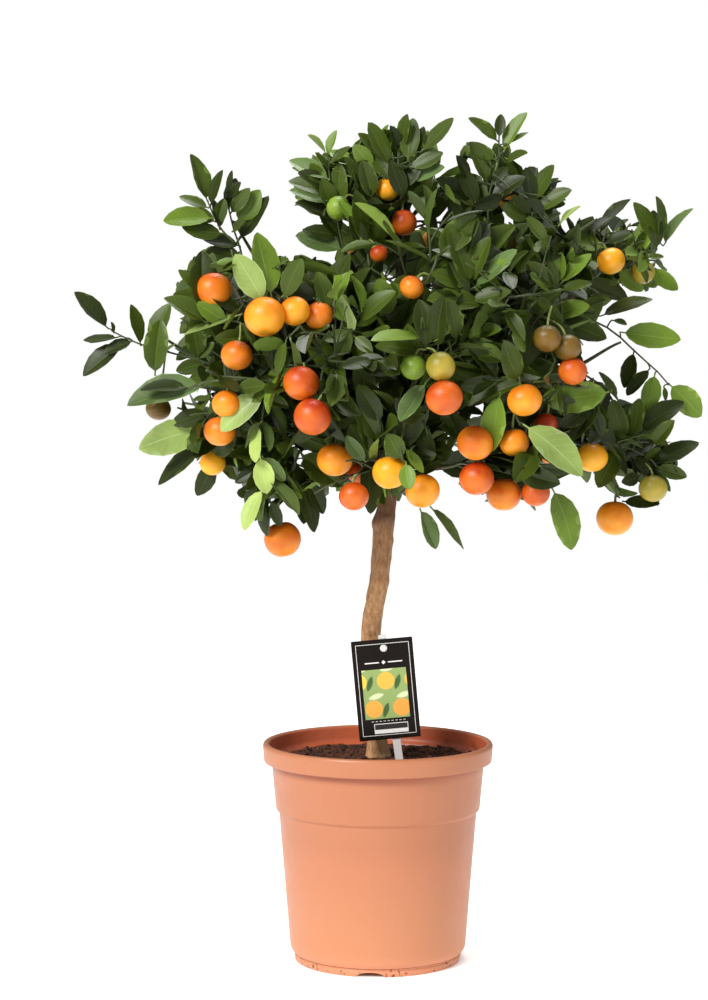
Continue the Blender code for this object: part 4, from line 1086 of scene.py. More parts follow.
# leaves along a twig, two turns to five leaves, closer and more upright to its end
def leafTwig(home, path, bare, rng, group):
    walked = walkedAlong(path)
    ways = unit(np.gradient(path, axis=0))
    count = max(3, int((1.0 - bare) * walked[-1] / crown["spacing"]))
    turn = rng.uniform(0.0, 2.0 * np.pi)
    for place in range(count):
        part = 1.0 - (1.0 - bare) * (place / count) ** 1.35
        spot = walked[-1] * part
        root = between(spot, walked, path)
        along = unit(between(spot, walked, ways))
        sideWay, otherWay = squareTo(along)
        angle = turn + place * 0.8 * np.pi + rng.uniform(-0.3, 0.3)
        around = math.cos(angle) * sideWay + math.sin(angle) * otherWay
        lean = 0.20 if place == 0 else min(0.42 + 0.13 * place, 1.05)
        length = rng.uniform(*crown["lengths"]) * (0.85 if place < 2 else 1.0)
        for shrink in (1.0, 0.85, 0.70):
            if growLeaf(home, root, along, around, lean, length * shrink, rng, group):
                break


# points of a line that lie in a fruit move out to 3 mm off its peel, mostly to its back
def roundFruit(line):
    for middle, radius in zip(fruitMiddles, fruitRadii):
        offset = line - middle
        within = np.linalg.norm(offset, axis=1) < radius + 0.0030
        if within.any():
            outward = unit(offset[within] + (0.0, 0.6 * radius, 0.3 * radius))
            line[within] = middle + outward * (radius + 0.0030)
    return line


# a twig of nine points from root to tip that leaves the way given and bends up a little. It stops
# short of where it would cross a fruit's front, unless it has to reach its tip.
def twigLine(root, tip, way, rise, short=True):
    length = np.linalg.norm(tip - root)
    ends = (root, root + way * 0.35 * length, tip - (tip - root) * 0.30 + (0.0, 0.0, rise * length), tip)
    line = roundFruit(bezier(ends, 9))
    covering = hides(line, frontFruit).any(axis=-1)
    last = covering.argmax() - 1
    if short and covering.any() and last > 1:
        line = between(np.linspace(0.0, last, 9), np.arange(9), line)
    return line


# painted light and shade: a spray's colour group, darker inside and below the crown, brighter and paler
# towards the light
def paintedLightGroup(spot, rng):
    out = (spot - crown["heart"]) / np.array((0.30, 0.25, 0.21))
    light = 0.40 * out[2] + 0.22 * np.linalg.norm(out) - 0.08 * out[0] + rng.normal(0.0, 0.30)
    return int(np.digitize(light, (0.18, 0.60, 1.05)))


# the stem of each mass, which its shoots and the sprays below leave from
def growStem(number):
    name = massNames[number]
    rng = np.random.default_rng((crown["seed"], number))
    path, radii = limbs[name]
    pole = unit(path[-1] - path[-2])
    start = path[-1] - pole * 0.003
    lift = masses[name][4]
    crownWay = unit(pole + unit(massMiddles[number] - crown["heart"]) + (0.0, 0.0, 0.3 * lift))
    ways = shootWays(crownWay, crown["shoots"], rng)
    tip = massMiddles[number] + ways[0] * massReaches[number] * 0.80
    stem = twigLine(start, tip, pole, 0.05)
    if inSky(stem).any():
        tip = massMiddles[number]
        stem = twigLine(start, tip, pole, 0.05)
    addTwig(stem, crown["stem"], crown["shoot"])
    return stem, ways, rng


def addTwig(path, thick, thin):
    shootPaths.append(path)
    shootRadii.append(np.linspace(thick, thin, 9))


# sprays that stand out in the photograph. Each has its depth in millimetres, its twig as points of
# the frame, and its leaves as root x, y, tip x, tip y, width seen over length, and colour group; the groups
# from deep to pale paint the light and shade seen on each leaf.
# A spray grows from the nearest limb or stem.
sprays = (
    # arching twig to the far left
    (-20, (228, 372, 205, 362, 190, 358, 168, 352, 148, 347, 130, 340, 112, 331), (
        (109, 329, 74, 292, 0.34, 0), (118, 337, 83, 340, 0.26, 0), (124, 343, 81, 374, 0.36, 0),
        (141, 346, 131, 304, 0.30, 1), (150, 347, 170, 303, 0.34, 1), (199, 359, 192, 319, 0.52, 1),
        (196, 359, 214, 342, 0.40, 1), (204, 364, 176, 371, 0.55, 1), (114, 333, 112, 322, 0.30, 1),
        (166, 352, 176, 342, 0.20, 3), (222, 368, 215, 343, 0.30, 1), (133, 341, 104, 352, 0.40, 0))),
    (-35, (232, 392, 205, 388, 180, 384, 156, 376), ((155, 376, 160, 319, 0.44, 1),)),
    # large leaves low on the left
    (-60, (244, 378, 224, 388, 208, 386), (
        (207, 386, 127, 406, 0.36, 4), (190, 388, 140, 388, 0.30, 0), (214, 398, 193, 400, 0.30, 1),
        (210, 392, 195, 416, 0.30, 1))),
    (-70, (236, 398, 220, 414, 208, 428), (
        (206, 429, 139, 449, 0.50, 3), (204, 444, 158, 485, 0.32, 0), (213, 460, 197, 496, 0.50, 0),
        (208, 412, 172, 424, 0.50, 0))),
    (-165, (290, 378, 276, 384, 268, 391), ((266, 391, 219, 430, 0.42, 3),)),
    # pale young shoot that hangs on the left
    (-155, (274, 380, 266, 396, 262, 420, 258, 446, 262, 472, 267, 496), (
        (258, 424, 257, 463, 0.26, 5), (260, 456, 267, 494, 0.56, 5), (263, 488, 242, 529, 0.32, 5),
        (267, 476, 300, 514, 0.28, 4), (262, 456, 285, 481, 0.34, 4), (268, 400, 289, 438, 0.28, 4),
        (262, 418, 272, 450, 0.26, 4), (262, 420, 244, 448, 0.20, 4))),
    (-120, (275, 470, 268, 490, 268, 505), (
        (266, 496, 264, 537, 0.36, 0), (270, 500, 282, 526, 0.40, 0), (258, 480, 247, 510, 0.36, 0),
        (256, 470, 235, 483, 0.50, 0))),
    (-110, (300, 450, 308, 470, 312, 486), (
        (300, 452, 343, 486, 0.50, 1), (306, 480, 324, 514, 0.42, 0), (300, 486, 317, 532, 0.40, 0),
        (296, 460, 306, 524, 0.30, 0))),
    # tuft at the upper left
    (-30, (244, 268, 240, 248, 234, 230, 229, 210, 226, 196), (
        (228, 196, 230, 170, 0.26, 0), (229, 210, 234, 176, 0.40, 0), (236, 222, 260, 190, 0.55, 2),
        (232, 232, 246, 220, 0.40, 1), (240, 246, 205, 238, 0.36, 0), (238, 240, 264, 194, 0.34, 0),
        (230, 214, 250, 188, 0.44, 1), (242, 256, 206, 250, 0.40, 0), (226, 198, 241, 182, 0.44, 0))),
    (-45, (236, 244, 222, 230, 213, 214, 208, 202), (
        (208, 202, 192, 153, 0.36, 1), (210, 206, 221, 169, 0.32, 0), (209, 208, 179, 197, 0.36, 1),
        (214, 218, 163, 222, 0.36, 2), (216, 222, 192, 208, 0.52, 1), (218, 226, 224, 198, 0.50, 1),
        (224, 234, 182, 226, 0.40, 1), (220, 230, 212, 196, 0.34, 0))),
    # pale and bright leaves over the yellow fruit
    (-172, (290, 306, 278, 302, 266, 300), (
        (264, 303, 235, 254, 0.50, 3), (272, 298, 260, 231, 0.42, 2), (284, 300, 302, 258, 0.46, 1))),
    (-140, (252, 330, 238, 322, 228, 320), (
        (206, 318, 203, 250, 0.42, 0), (228, 324, 196, 303, 0.50, 2), (206, 322, 166, 295, 0.36, 1),
        (242, 313, 209, 291, 0.38, 0), (242, 314, 182, 333, 0.17, 3), (250, 336, 216, 338, 0.44, 1),
        (196, 290, 180, 269, 0.36, 1))),
    # tuft at the top, left of the middle
    (-45, (346, 262, 341, 238, 336, 215, 332, 192, 329, 172, 328, 156), (
        (328, 157, 337, 130, 0.30, 2), (330, 163, 350, 146, 0.34, 1), (327, 154, 308, 135, 0.18, 3),
        (328, 168, 316, 152, 0.28, 1), (330, 180, 289, 161, 0.34, 4), (332, 196, 289, 178, 0.40, 1),
        (330, 204, 291, 186, 0.24, 4), (336, 222, 295, 202, 0.32, 0), (333, 206, 312, 162, 0.36, 1),
        (338, 208, 340, 164, 0.42, 1), (331, 190, 299, 172, 0.34, 0), (340, 236, 303, 227, 0.40, 0),
        (344, 250, 296, 233, 0.40, 4), (336, 214, 322, 178, 0.40, 1), (342, 240, 318, 212, 0.34, 0),
        (338, 222, 346, 182, 0.30, 1))),
    (-90, (370, 268, 366, 250, 362, 238), (
        (362, 240, 338, 201, 0.26, 2), (364, 244, 358, 190, 0.34, 1), (366, 252, 352, 216, 0.40, 0))),
    # tuft at the top middle
    (-55, (402, 228, 400, 200, 399, 178, 398, 158), (
        (390, 166, 371, 121, 0.32, 1), (390, 160, 357, 134, 0.30, 1), (398, 152, 392, 126, 0.36, 0),
        (408, 162, 413, 117, 0.46, 1), (402, 150, 407, 114, 0.34, 1), (418, 158, 423, 126, 0.36, 0),
        (420, 152, 453, 117, 0.34, 1), (410, 168, 443, 152, 0.42, 1), (408, 182, 444, 166, 0.32, 4),
        (374, 168, 353, 145, 0.56, 2), (392, 182, 372, 152, 0.50, 1), (368, 186, 345, 158, 0.36, 1),
        (404, 200, 392, 160, 0.44, 0), (402, 190, 420, 158, 0.40, 0), (372, 200, 362, 160, 0.44, 1))),
    # tuft at the top right
    (-25, (488, 226, 489, 196, 494, 176, 499, 160, 499, 146), (
        (499, 142, 470, 116, 0.32, 1), (499, 138, 501, 114, 0.46, 0), (503, 152, 528, 113, 0.30, 2),
        (507, 144, 529, 133, 0.26, 2), (505, 162, 528, 153, 0.34, 1), (496, 160, 467, 141, 0.42, 1),
        (488, 184, 472, 142, 0.40, 1), (494, 172, 484, 142, 0.36, 0), (470, 180, 457, 155, 0.40, 0),
        (474, 200, 437, 178, 0.44, 0), (490, 202, 525, 176, 0.38, 0), (492, 186, 508, 166, 0.44, 0),
        (478, 204, 462, 168, 0.44, 0), (486, 210, 470, 172, 0.44, 1))),
    (-25, (540, 262, 538, 238, 534, 212, 531, 200), (
        (530, 206, 527, 167, 0.40, 0), (532, 202, 555, 165, 0.40, 1), (536, 212, 570, 188, 0.36, 1),
        (558, 226, 578, 204, 0.18, 3), (544, 226, 552, 205, 0.40, 0), (528, 220, 503, 204, 0.40, 1),
        (532, 214, 512, 196, 0.40, 0))),
    # upright tufts at the right shoulder
    (5, (590, 272, 604, 258, 620, 250), (
        (598, 234, 630, 198, 0.28, 0), (604, 248, 575, 238, 0.50, 2), (604, 244, 631, 232, 0.34, 0),
        (586, 238, 612, 216, 0.30, 0), (618, 268, 643, 291, 0.50, 2), (580, 280, 628, 301, 0.34, 0),
        (590, 296, 609, 286, 0.40, 1))),
    (5, (628, 268, 644, 260, 655, 250, 660, 238), (
        (657, 250, 653, 210, 0.42, 0), (656, 242, 634, 202, 0.36, 1), (660, 240, 657, 196, 0.28, 1),
        (663, 246, 689, 205, 0.24, 4), (640, 256, 651, 222, 0.36, 2), (650, 268, 678, 290, 0.46, 2),
        (646, 258, 664, 256, 0.30, 1))),
    # arching twig to the right
    (-30, (560, 308, 585, 317, 600, 324, 613, 331, 628, 345, 640, 356, 652, 367, 664, 378, 669, 385), (
        (600, 316, 651, 294, 0.28, 1), (620, 332, 681, 338, 0.42, 2), (612, 320, 627, 325, 0.30, 4),
        (634, 351, 623, 388, 0.42, 0), (655, 373, 646, 413, 0.50, 2), (650, 368, 627, 396, 0.32, 0),
        (669, 384, 702, 417, 0.56, 2), (664, 386, 666, 401, 0.34, 1))),
    (-45, (584, 432, 604, 440, 622, 446, 634, 450, 648, 458), (
        (640, 434, 683, 398, 0.42, 0), (655, 464, 698, 440, 0.40, 0), (656, 466, 687, 477, 0.46, 1),
        (652, 446, 673, 420, 0.40, 1), (618, 448, 598, 488, 0.52, 1), (640, 476, 622, 482, 0.60, 0),
        (626, 440, 612, 400, 0.46, 1), (632, 438, 640, 398, 0.40, 1), (604, 436, 598, 404, 0.46, 1),
        (644, 462, 660, 448, 0.36, 1), (636, 456, 648, 474, 0.50, 0))),
    (-45, (614, 470, 615, 486, 618, 500), ((622, 501, 660, 504, 0.36, 0),)),
    # broad leaves low on the right
    (-135, (580, 372, 600, 384, 614, 392), (
        (612, 391, 541, 398, 0.46, 2), (618, 400, 598, 372, 0.30, 0), (588, 410, 562, 428, 0.50, 0),
        (594, 408, 602, 436, 0.44, 0), (600, 404, 570, 440, 0.42, 0))),
    (-175, (508, 404, 514, 414, 520, 424), (
        (523, 424, 584, 474, 0.42, 3), (500, 392, 492, 452, 0.38, 2), (514, 468, 560, 484, 0.46, 0))),
    (-105, (540, 316, 556, 320), ((560, 320, 607, 339, 0.44, 0), (548, 318, 590, 306, 0.40, 2))),
    (-130, (530, 470, 542, 480, 551, 488), ((552, 488, 575, 550, 0.42, 2), (548, 484, 522, 490, 0.40, 0))),
    # front of the crown
    (-190, (444, 366, 436, 356, 428, 348), (
        (426, 382, 399, 421, 0.40, 4), (422, 352, 376, 344, 0.40, 1), (426, 350, 421, 298, 0.42, 0),
        (438, 350, 441, 296, 0.40, 0), (456, 342, 452, 300, 0.36, 1))),
    (-150, (470, 345, 468, 318, 469, 292), (
        (470, 288, 449, 227, 0.36, 1), (472, 284, 488, 236, 0.34, 1), (474, 288, 514, 246, 0.26, 4),
        (468, 286, 431, 270, 0.40, 1), (470, 300, 511, 290, 0.40, 1), (464, 337, 502, 329, 0.42, 2),
        (476, 290, 505, 258, 0.22, 2), (468, 300, 448, 262, 0.40, 0))),
    (-120, (562, 318, 560, 298, 558, 286), (
        (558, 284, 561, 252, 0.46, 2), (560, 284, 590, 252, 0.34, 2), (556, 288, 528, 262, 0.40, 1),
        (560, 290, 592, 282, 0.36, 1), (556, 290, 548, 256, 0.30, 1))),
    (-150, (405, 474, 412, 492, 420, 506), (
        (420, 508, 438, 549, 0.32, 4), (430, 506, 469, 546, 0.22, 4))),
    (-185, (400, 446, 402, 456, 404, 462), (
        (402, 460, 388, 434, 0.70, 1), (405, 448, 425, 472, 0.36, 2), (406, 462, 410, 490, 0.60, 2))),
    (-165, (384, 440, 376, 452, 372, 460), (
        (376, 462, 349, 424, 0.52, 1), (380, 442, 356, 404, 0.46, 1), (370, 456, 362, 400, 0.34, 1),
        (382, 424, 358, 384, 0.46, 0), (366, 462, 346, 436, 0.46, 4))),
    (-115, (380, 446, 374, 456, 370, 462), ((369, 455, 371, 514, 0.40, 0), (374, 450, 396, 486, 0.40, 0))),
    (-185, (300, 326, 294, 332, 290, 336), ((290, 335, 299, 394, 0.18, 3), (286, 340, 276, 376, 0.34, 1))),
    (-150, (318, 322, 308, 330, 300, 336), (
        (302, 336, 347, 383, 0.40, 2), (330, 312, 318, 271, 0.40, 1), (296, 330, 330, 326, 0.30, 1),
        (306, 332, 262, 374, 0.40, 0))),
    (-155, (350, 352, 352, 334, 354, 322), (
        (346, 322, 336, 302, 0.62, 2), (362, 312, 355, 273, 0.30, 2), (358, 324, 392, 289, 0.30, 1),
        (356, 326, 376, 318, 0.40, 2), (350, 330, 324, 340, 0.46, 1), (354, 336, 372, 352, 0.50, 1),
        (352, 330, 338, 358, 0.46, 1))),
)


# leaves in a spray face the front by as much as they look wide, and otherwise look up
def growSpray(depth, line, leaves, number):
    global leafSpots
    rng = np.random.default_rng((crown["seed"], 100 + number))
    depth = depth / 1000.0
    points = np.array([frameSpot(line[place], line[place + 1], depth) for place in range(0, len(line), 2)])
    network = np.concatenate([limbPoints] + [path[1:] for path in stems])
    away = np.linalg.norm(network - points[0], axis=1)
    halfWay = 0.5 * (network + points[0])
    gaps = np.linalg.norm(halfWay[:, None] - fruitMiddles, axis=-1) - fruitRadii
    away = away + np.where(gaps.min(axis=1) < 0.002, 0.04, 0.0)
    base = network[away.argmin()]
    first = twigLine(base, points[0], unit(points[0] - base + (0.0, 0.0, 0.3 * away.min())), 0.02, False)
    addTwig(first, 0.0014, 0.0012)
    knots = walkedAlong(points)
    fine = roundFruit(throughKnots(knots, points, np.linspace(0.0, knots[-1], 9)))
    addTwig(fine, 0.0012, 0.0008)
    for rootX, rootY, tipX, tipY, ratio, group in leaves:
        root = frameSpot(rootX, rootY, depth + rng.uniform(-0.006, 0.006))
        tip = frameSpot(tipX, tipY, depth + rng.uniform(-0.016, 0.006))
        beside = np.linalg.norm(fine - root, axis=1)
        if beside.min() > 0.002:
            joint = fine[beside.argmin()]
            halfWay = 0.5 * (joint + root) + (0.0, 0.0, 0.002)
            addTwig(roundFruit(bezier((joint, halfWay, root), 9)), 0.0008, 0.0007)
        way = unit(tip - root)
        length = np.linalg.norm(tip - root)
        toward = unit(eye - root)
        toward = unit(toward - way * toward.dot(way))
        across = np.cross(way, toward)
        trueRatio = max(ratio, 0.46)
        upOrOut = across[2] + 0.2 * across.dot(root - crown["heart"])
        roll = math.acos(min(1.0, ratio / trueRatio)) * (1.0 if upOrOut > 0.0 else -1.0)
        face = toward * math.cos(roll) + across * math.sin(roll)
        leafRows.append((root, way, face, length, trueRatio, group, 0.70))
        spots = root + np.array((0.35, 0.65, 0.95))[:, None] * (tip - root)
        leafSpots = np.concatenate([leafSpots, spots])
        keptClear.extend([(spot, 0.007) for spot in spots])


# a mass: shoots spread evenly from its stem, and finer twigs from those, all leafy outwards
def growMass(number):
    stem = stems[number]
    ways, rng = stemWays[number]
    home = homes[number]
    middle, reach = home[:2]
    leafTwig(home, stem, 0.50, rng, paintedLightGroup(stem[-1], rng))
    for place, way in enumerate(ways[1:]):
        part = 2 + place % 5
        root = stem[part]
        tip = middle + way * reach * rng.uniform(*crown["reach"])
        away = unit(unit(tip - root) + 0.5 * unit(stem[part + 1] - stem[part]))
        shoot = twigLine(root, tip, away, 0.04)
        if blocked(shoot[None, 2:])[0] or inSky(shoot).any():
            tip = middle + unit(way + rng.uniform(-0.5, 0.5, 3)) * reach * 0.60
            shoot = twigLine(root, tip, away, 0.10)
            if inSky(shoot).any():
                continue
        group = paintedLightGroup(tip, rng)
        addTwig(shoot, crown["shoot"] * 1.2, crown["twig"])
        leafTwig(home, shoot, 0.34, rng, group)
        for spot in (3, 5):
            along = unit(shoot[spot + 1] - shoot[spot])
            aside = unit(np.cross(along, rng.normal(0.0, 1.0, 3)))
            end = shoot[spot] + unit(along + 0.9 * aside) * rng.uniform(0.026, 0.046)
            twig = twigLine(shoot[spot], end, unit(along + 0.5 * aside), 0.06)
            if beyondHome(end, home) > 0.90 or inSky(twig).any():
                continue
            addTwig(twig, crown["twig"], 0.7 * crown["twig"])
            leafTwig(home, twig, 0.30, rng, paintedLightGroup(end, rng))


# short shoots inside the crown, off the boughs and off the trunk's end, more of these to the front
def growInner():
    rng = np.random.default_rng((crown["seed"], 900))
    for name, (path, radii) in limbs.items():
        for part in (np.linspace(0.66, 0.98, 22) if name == "trunk" else np.linspace(0.20, 0.98, 6)):
            root, way = alongLimb(name, part)[:2]
            toward = rng.normal(0.0, 1.0, 3) + (0.0, -0.8 if name == "trunk" else 0.0, 0.0)
            aside = unit(toward - way * toward.dot(way))
            tip = root + unit(0.4 * way + aside + (0.0, 0.0, 0.2)) * rng.uniform(0.038, 0.080)
            shoot = twigLine(root, tip, aside, 0.04)
            if inSky(shoot[2:]).any() or blocked(shoot[None, 4:])[0]:
                continue
            addTwig(shoot, crown["shoot"], crown["twig"])
            # painted shade: leaves inside the crown take only the deep and mid groups
            leafTwig(innerHome, shoot, 0.30, rng, int(rng.uniform() < 0.4))


stems = []
stemWays = []
for massNumber in range(len(massNames)):
    stem, ways, rng = growStem(massNumber)
    stems.append(stem)
    stemWays.append((ways, rng))
for sprayNumber, spray in enumerate(sprays):
    growSpray(*spray, sprayNumber)
print("sprays placed:", len(leafRows), "leaves")
for massNumber in range(len(massNames)):
    growMass(massNumber)
growInner()
print("crown grown:", len(shootPaths), "twigs,", len(leafRows), "leaves,", len(fruits), "fruit")


# leaf: rows across a blade with a short stalk. Its half width goes as u^0.64 (1 - u)^0.72 of the way
# u from blade base to tip, it folds up from the midrib by its own angle, its length bends down as
# t^2, its edges wave, and it twists; the underside lies the leaf's thickness below.
leafForm = {
    "rows": np.array((0.0, 0.09, 0.16, 0.30, 0.50, 0.70, 0.87, 0.96)),
    "stalk": 0.09,
    "stalkRadius": 0.00075,
    "thick": 0.00036,
    "fold": (0.18, 0.74),       # rise of the edge over half width
    "bend": (-0.06, 0.20),
    "wave": 0.10,
    "twist": 0.40,
}


def leafShape(rows, seed):
    rng = np.random.default_rng(seed)
    count = len(rows)
    root, way, face = (np.array([row[place] for row in rows]) for place in range(3))
    length = np.array([row[3] for row in rows])
    wide = np.array([row[4] for row in rows]) * length * 0.5
    calm = np.array([row[6] for row in rows])[:, None, None]
    across = unit(np.cross(way, face))
    up = np.cross(across, way)
    t = leafForm["rows"]
    u = np.clip((t - leafForm["stalk"]) / (1.0 - leafForm["stalk"]), 0.0, 1.0)
    half = u ** 0.64 * (1.0 - u) ** 0.72 / 0.391
    half = np.maximum(half[None] * wide[:, None], leafForm["stalkRadius"])
    fold = rng.uniform(*leafForm["fold"], (count, 1, 1)) * calm
    bend = rng.uniform(*leafForm["bend"], (count, 1, 1)) * calm
    wave = rng.uniform(-1.0, 1.0, (count, 1, 1)) * leafForm["wave"]
    phase = rng.uniform(0.0, 2.0 * np.pi, (count, 1, 1))
    twist = rng.uniform(-1.0, 1.0, (count, 1, 1)) * leafForm["twist"] * calm
    side = rng.uniform(-0.06, 0.06, (count, 1, 1)) * calm
    # across the ring: left edge, left half, midrib, right half, right edge, and back below
    s = np.array((-1.0, -0.52, 0.0, 0.52, 1.0, 0.52, 0.0, -0.52))
    below = np.array((0.0, 0.0, 0.0, 0.0, 0.0, 1.0, 1.0, 1.0))
    t3 = t[None, :, None]
    h3 = half[:, :, None]
    blade = (u > 0.0)[None, :, None]
    rise = h3 * np.abs(s) * fold * blade
    rise = rise + h3 * (np.abs(s) - s ** 2) * 0.30 * blade
    rise = rise + h3 * wave * s ** 2 * np.sin(9.0 * t3 + phase + np.sign(s) * 1.3) * blade
    rise = rise - bend * length[:, None, None] * t3 ** 2
    thick = np.where(blade, leafForm["thick"], 1.5 * leafForm["stalkRadius"])
    rise = rise - below * thick + np.where(blade, 0.0, leafForm["stalkRadius"] * 0.7 * (1.0 - np.abs(s)))
    turn = twist * t3
    flatWay = h3 * s + side * length[:, None, None] * np.sin(np.pi * t3)
    x = flatWay * np.cos(turn) - rise * np.sin(turn)
    z = flatWay * np.sin(turn) + rise * np.cos(turn)
    forward = t3 * length[:, None, None] * (1.0 - 0.25 * bend ** 2)
    rings = setOut(root, (across, up, way), (x, z, forward * np.ones_like(x)))
    drop = -bend[:, 0] * length[:, None]
    tips = root + way * length[:, None] * (1.0 - 0.25 * bend[:, 0] ** 2) + up * drop
    points = np.concatenate([rings.reshape(count, -1, 3), tips[:, None]], axis=1)
    # faces between rings, a fan to the tip and one face across the stalk's end
    place = np.arange(8)
    after = (place + 1) % 8
    last = (len(t) - 1) * 8
    low = np.arange(0, last, 8)[:, None]
    quads = np.stack([low + place, low + 8 + place, low + 8 + after, low + after], axis=-1).reshape(-1, 4)
    ends = np.stack([last + place, np.full(8, last + 8), last + after], axis=-1)
    corners = np.concatenate([quads.ravel(), ends.ravel(), np.arange(8)])
    sizes = np.concatenate([np.full(len(quads), 4), np.full(8, 3), [8]])
    kinds = np.append(np.tile((place > 3).astype(int), len(t)), 1)
    uv = np.stack([np.tile(0.5 + 0.5 * s, len(t)), np.repeat(t, 8)], axis=-1)
    return makeShape(points, corners, sizes, np.concatenate([uv, [[0.5, 1.0]]]), kinds)


# citrus leaf, grown: upper side dark, smooth and waxy with a wide soft shine, a paler midrib and
# faint side veins; lower side paler and dull
# deep, mid, bright and pale are one leaf in painted light and shade: deep for shade, mid and bright for light
# falling on it, pale for light shining through it
leafLightAndShadeColours = {
    "deep": ("#27310A", "#4C5F20", "#414F1B"),
    "mid": ("#3D4C12", "#637C2E", "#566A26"),
    "bright": ("#5E7722", "#869F42", "#748A3A"),
    "pale": ("#859A50", "#AEC088", "#8FA262"),
    "grey": ("#536834", "#849864", "#6C7E48"),
    "young": ("#97AC58", "#BDCB88", "#A5B96A"),
}


def makeLeafSide(name, hexBase, hexVein, roughness, veins):
    material, tree, shader, place = startMaterial(name, roughness, 1.34)
    uv = addNode(tree, "UVMap", uv_map="map")
    parts = addNode(tree, "SeparateXYZ", {0: uv})
    aside = addNode(tree, "Math", {0: parts.outputs[0], 1: 0.5}, operation="SUBTRACT")
    off = addNode(tree, "Math", {0: aside}, operation="ABSOLUTE")
    rib = addNode(tree, "MapRange", {0: off, 1: 0.028, 2: 0.008, 4: 0.5})
    # painted highlight: a thin margin along the edge, lighter than the blade
    margin = addNode(tree, "MapRange", {0: off, 1: 0.455, 2: 0.5, 4: 0.55})
    # side veins leave the midrib at an angle, nine to a leaf
    slant = addNode(tree, "Math", {0: off, 1: -0.42, 2: parts.outputs[1]}, operation="MULTIPLY_ADD")
    wave = addNode(tree, "Math", {0: slant, 1: 9.0 * 2.0 * math.pi}, operation="MULTIPLY")
    ripple = addNode(tree, "Math", {0: wave}, operation="SINE")
    vein = addNode(tree, "MapRange", {0: ripple, 1: 0.8, 2: 1.0, 4: veins})
    lines = addNode(tree, "Math", {0: rib, 1: vein}, operation="MAXIMUM")
    veinsAndEdgeHighlight = addNode(tree, "Math", {0: lines, 1: margin}, operation="MAXIMUM")
    blotch = addNode(tree, "TexNoise", {"Vector": place, "Scale": 1.0 / 0.045, "Detail": 3.0})
    tone = addNode(tree, "MapRange", {0: blotch, 1: 0.3, 2: 0.7, 3: 0.72, 4: 1.34})
    base = addNode(tree, "VectorMath", {0: linear(hexBase)[:3], "Scale": tone}, operation="SCALE")
    colour = addNode(tree, "Mix", {0: veinsAndEdgeHighlight, 6: base, 7: hexVein}, data_type="RGBA")
    bump = addNode(tree, "Bump", {"Strength": 0.2, "Distance": 0.0005, "Height": lines}, invert=True)
    feed(shader, {"Base Color": colour, "Normal": bump})
    return material


def makeLeaves():
    nodes = ["leaves_" + name for name in massNames]
    for group, (name, (upper, vein, under)) in enumerate(leafLightAndShadeColours.items()):
        rows = [row for row in leafRows if row[5] == group]
        materials = [makeLeafSide("waxy citrus leaf, " + name, upper, vein, 0.40, 0.12),
                     makeLeafSide("citrus leaf underside, " + name, under, vein, 0.55, 0.25)]
        shape = leafShape(rows, (31, group))
        makePiece("leaves_" + name + "_green", shape, materials, nodes, 52.0)


makeLeaves()
print("leaves ready")


# twigs: tubes of six sides, green with patches of brown by noise

def makeTwigs():
    material, tree, shader, place = startMaterial("young citrus twig", 0.60)
    noise = addNode(tree, "TexNoise", {"Vector": place, "Scale": 1.0 / 0.012, "Detail": 4.0})
    # painted shade: the twig greens are kept dark for the shade they stand in inside the crown
    ramp = addNode(tree, "ValToRGB", {
        0: noise}, stops=((0.35, "#2F3B18"), (0.55, "#3E4A20"), (0.7, "#4C3F28")))
    feed(shader, {"Base Color": ramp})
    shape = tubeShape(np.array(shootPaths), np.array(shootRadii), 6)
    makePiece("twigs", shape, [material], ["leaves_" + name for name in massNames])


makeTwigs()
print("twigs ready")


# fruit: ball of radius R by angles a round and b down from the stalk, flattened to 0.94, with a
# dimple exp(-(b/0.30)^2) at the stalk, a small one at the foot, and faint lobes near the stalk
fruitForm = {"rings": 22, "sides": 30, "squash": 0.94, "dimple": 0.13, "scar": 0.05,
             "hint": (0.35, 0.80, 0.48)}
peelColours = {
    "green": ("#567314", "#86A033", 0.20),
    # painted shade: this group is the olive peel darkened, for fruit that hang in shade
    "olive_in_shade": ("#4A420C", "#785612", 0.32),
    "olive": ("#75701A", "#A89430", 0.45),
    "yellow": ("#EE960E", "#F8B626", 0.65),
    "amber": ("#DC740A", "#F2A020", 0.75),
    "orange": ("#CE5808", "#EA8C1C", 0.85),
    "red": ("#AC3006", "#D86A12", 2.0),
}


# calamondin peel: thin and oily, glossy in a soft way, pitted with glands 1.2 mm apart, lighter in
# patches and to the foot, where it ripens last
def makePeel(name, hexBase, hexLight):
    material, tree, shader, place = startMaterial(name, 0.40, 1.45)
    cloud = addNode(tree, "TexNoise", {"Vector": place, "Scale": 1.0 / 0.02, "Detail": 2.0})
    uv = addNode(tree, "UVMap", uv_map="map")
    parts = addNode(tree, "SeparateXYZ", {0: uv})
    ripe = addNode(tree, "Math", {0: parts.outputs[1], 1: 0.6, 2: cloud}, operation="MULTIPLY_ADD")
    blend = addNode(tree, "MapRange", {0: ripe, 1: 0.6, 2: 1.05})
    colour = addNode(tree, "Mix", {0: blend, 6: hexBase, 7: hexLight}, data_type="RGBA")
    glands = addNode(tree, "TexVoronoi", {"Vector": place, "Scale": 1.0 / 0.0013})
    pit = addNode(tree, "MapRange", {0: glands, 1: 0.0, 2: 0.55})
    speck = addNode(tree, "MapRange", {0: glands, 1: 0.3, 2: 0.1, 4: 0.22})
    dotted = addNode(tree, "Mix", {0: speck, 6: colour, 7: hexLight}, data_type="RGBA")
    bump = addNode(tree, "Bump", {"Strength": 0.22, "Distance": 0.0005, "Height": pit})
    feed(shader, {
        "Base Color": dotted, "Normal": bump, "Subsurface Weight": 0.12,
        "Subsurface Radius": (0.004, 0.0015, 0.0005), "Subsurface Scale": 1.0})
    return material


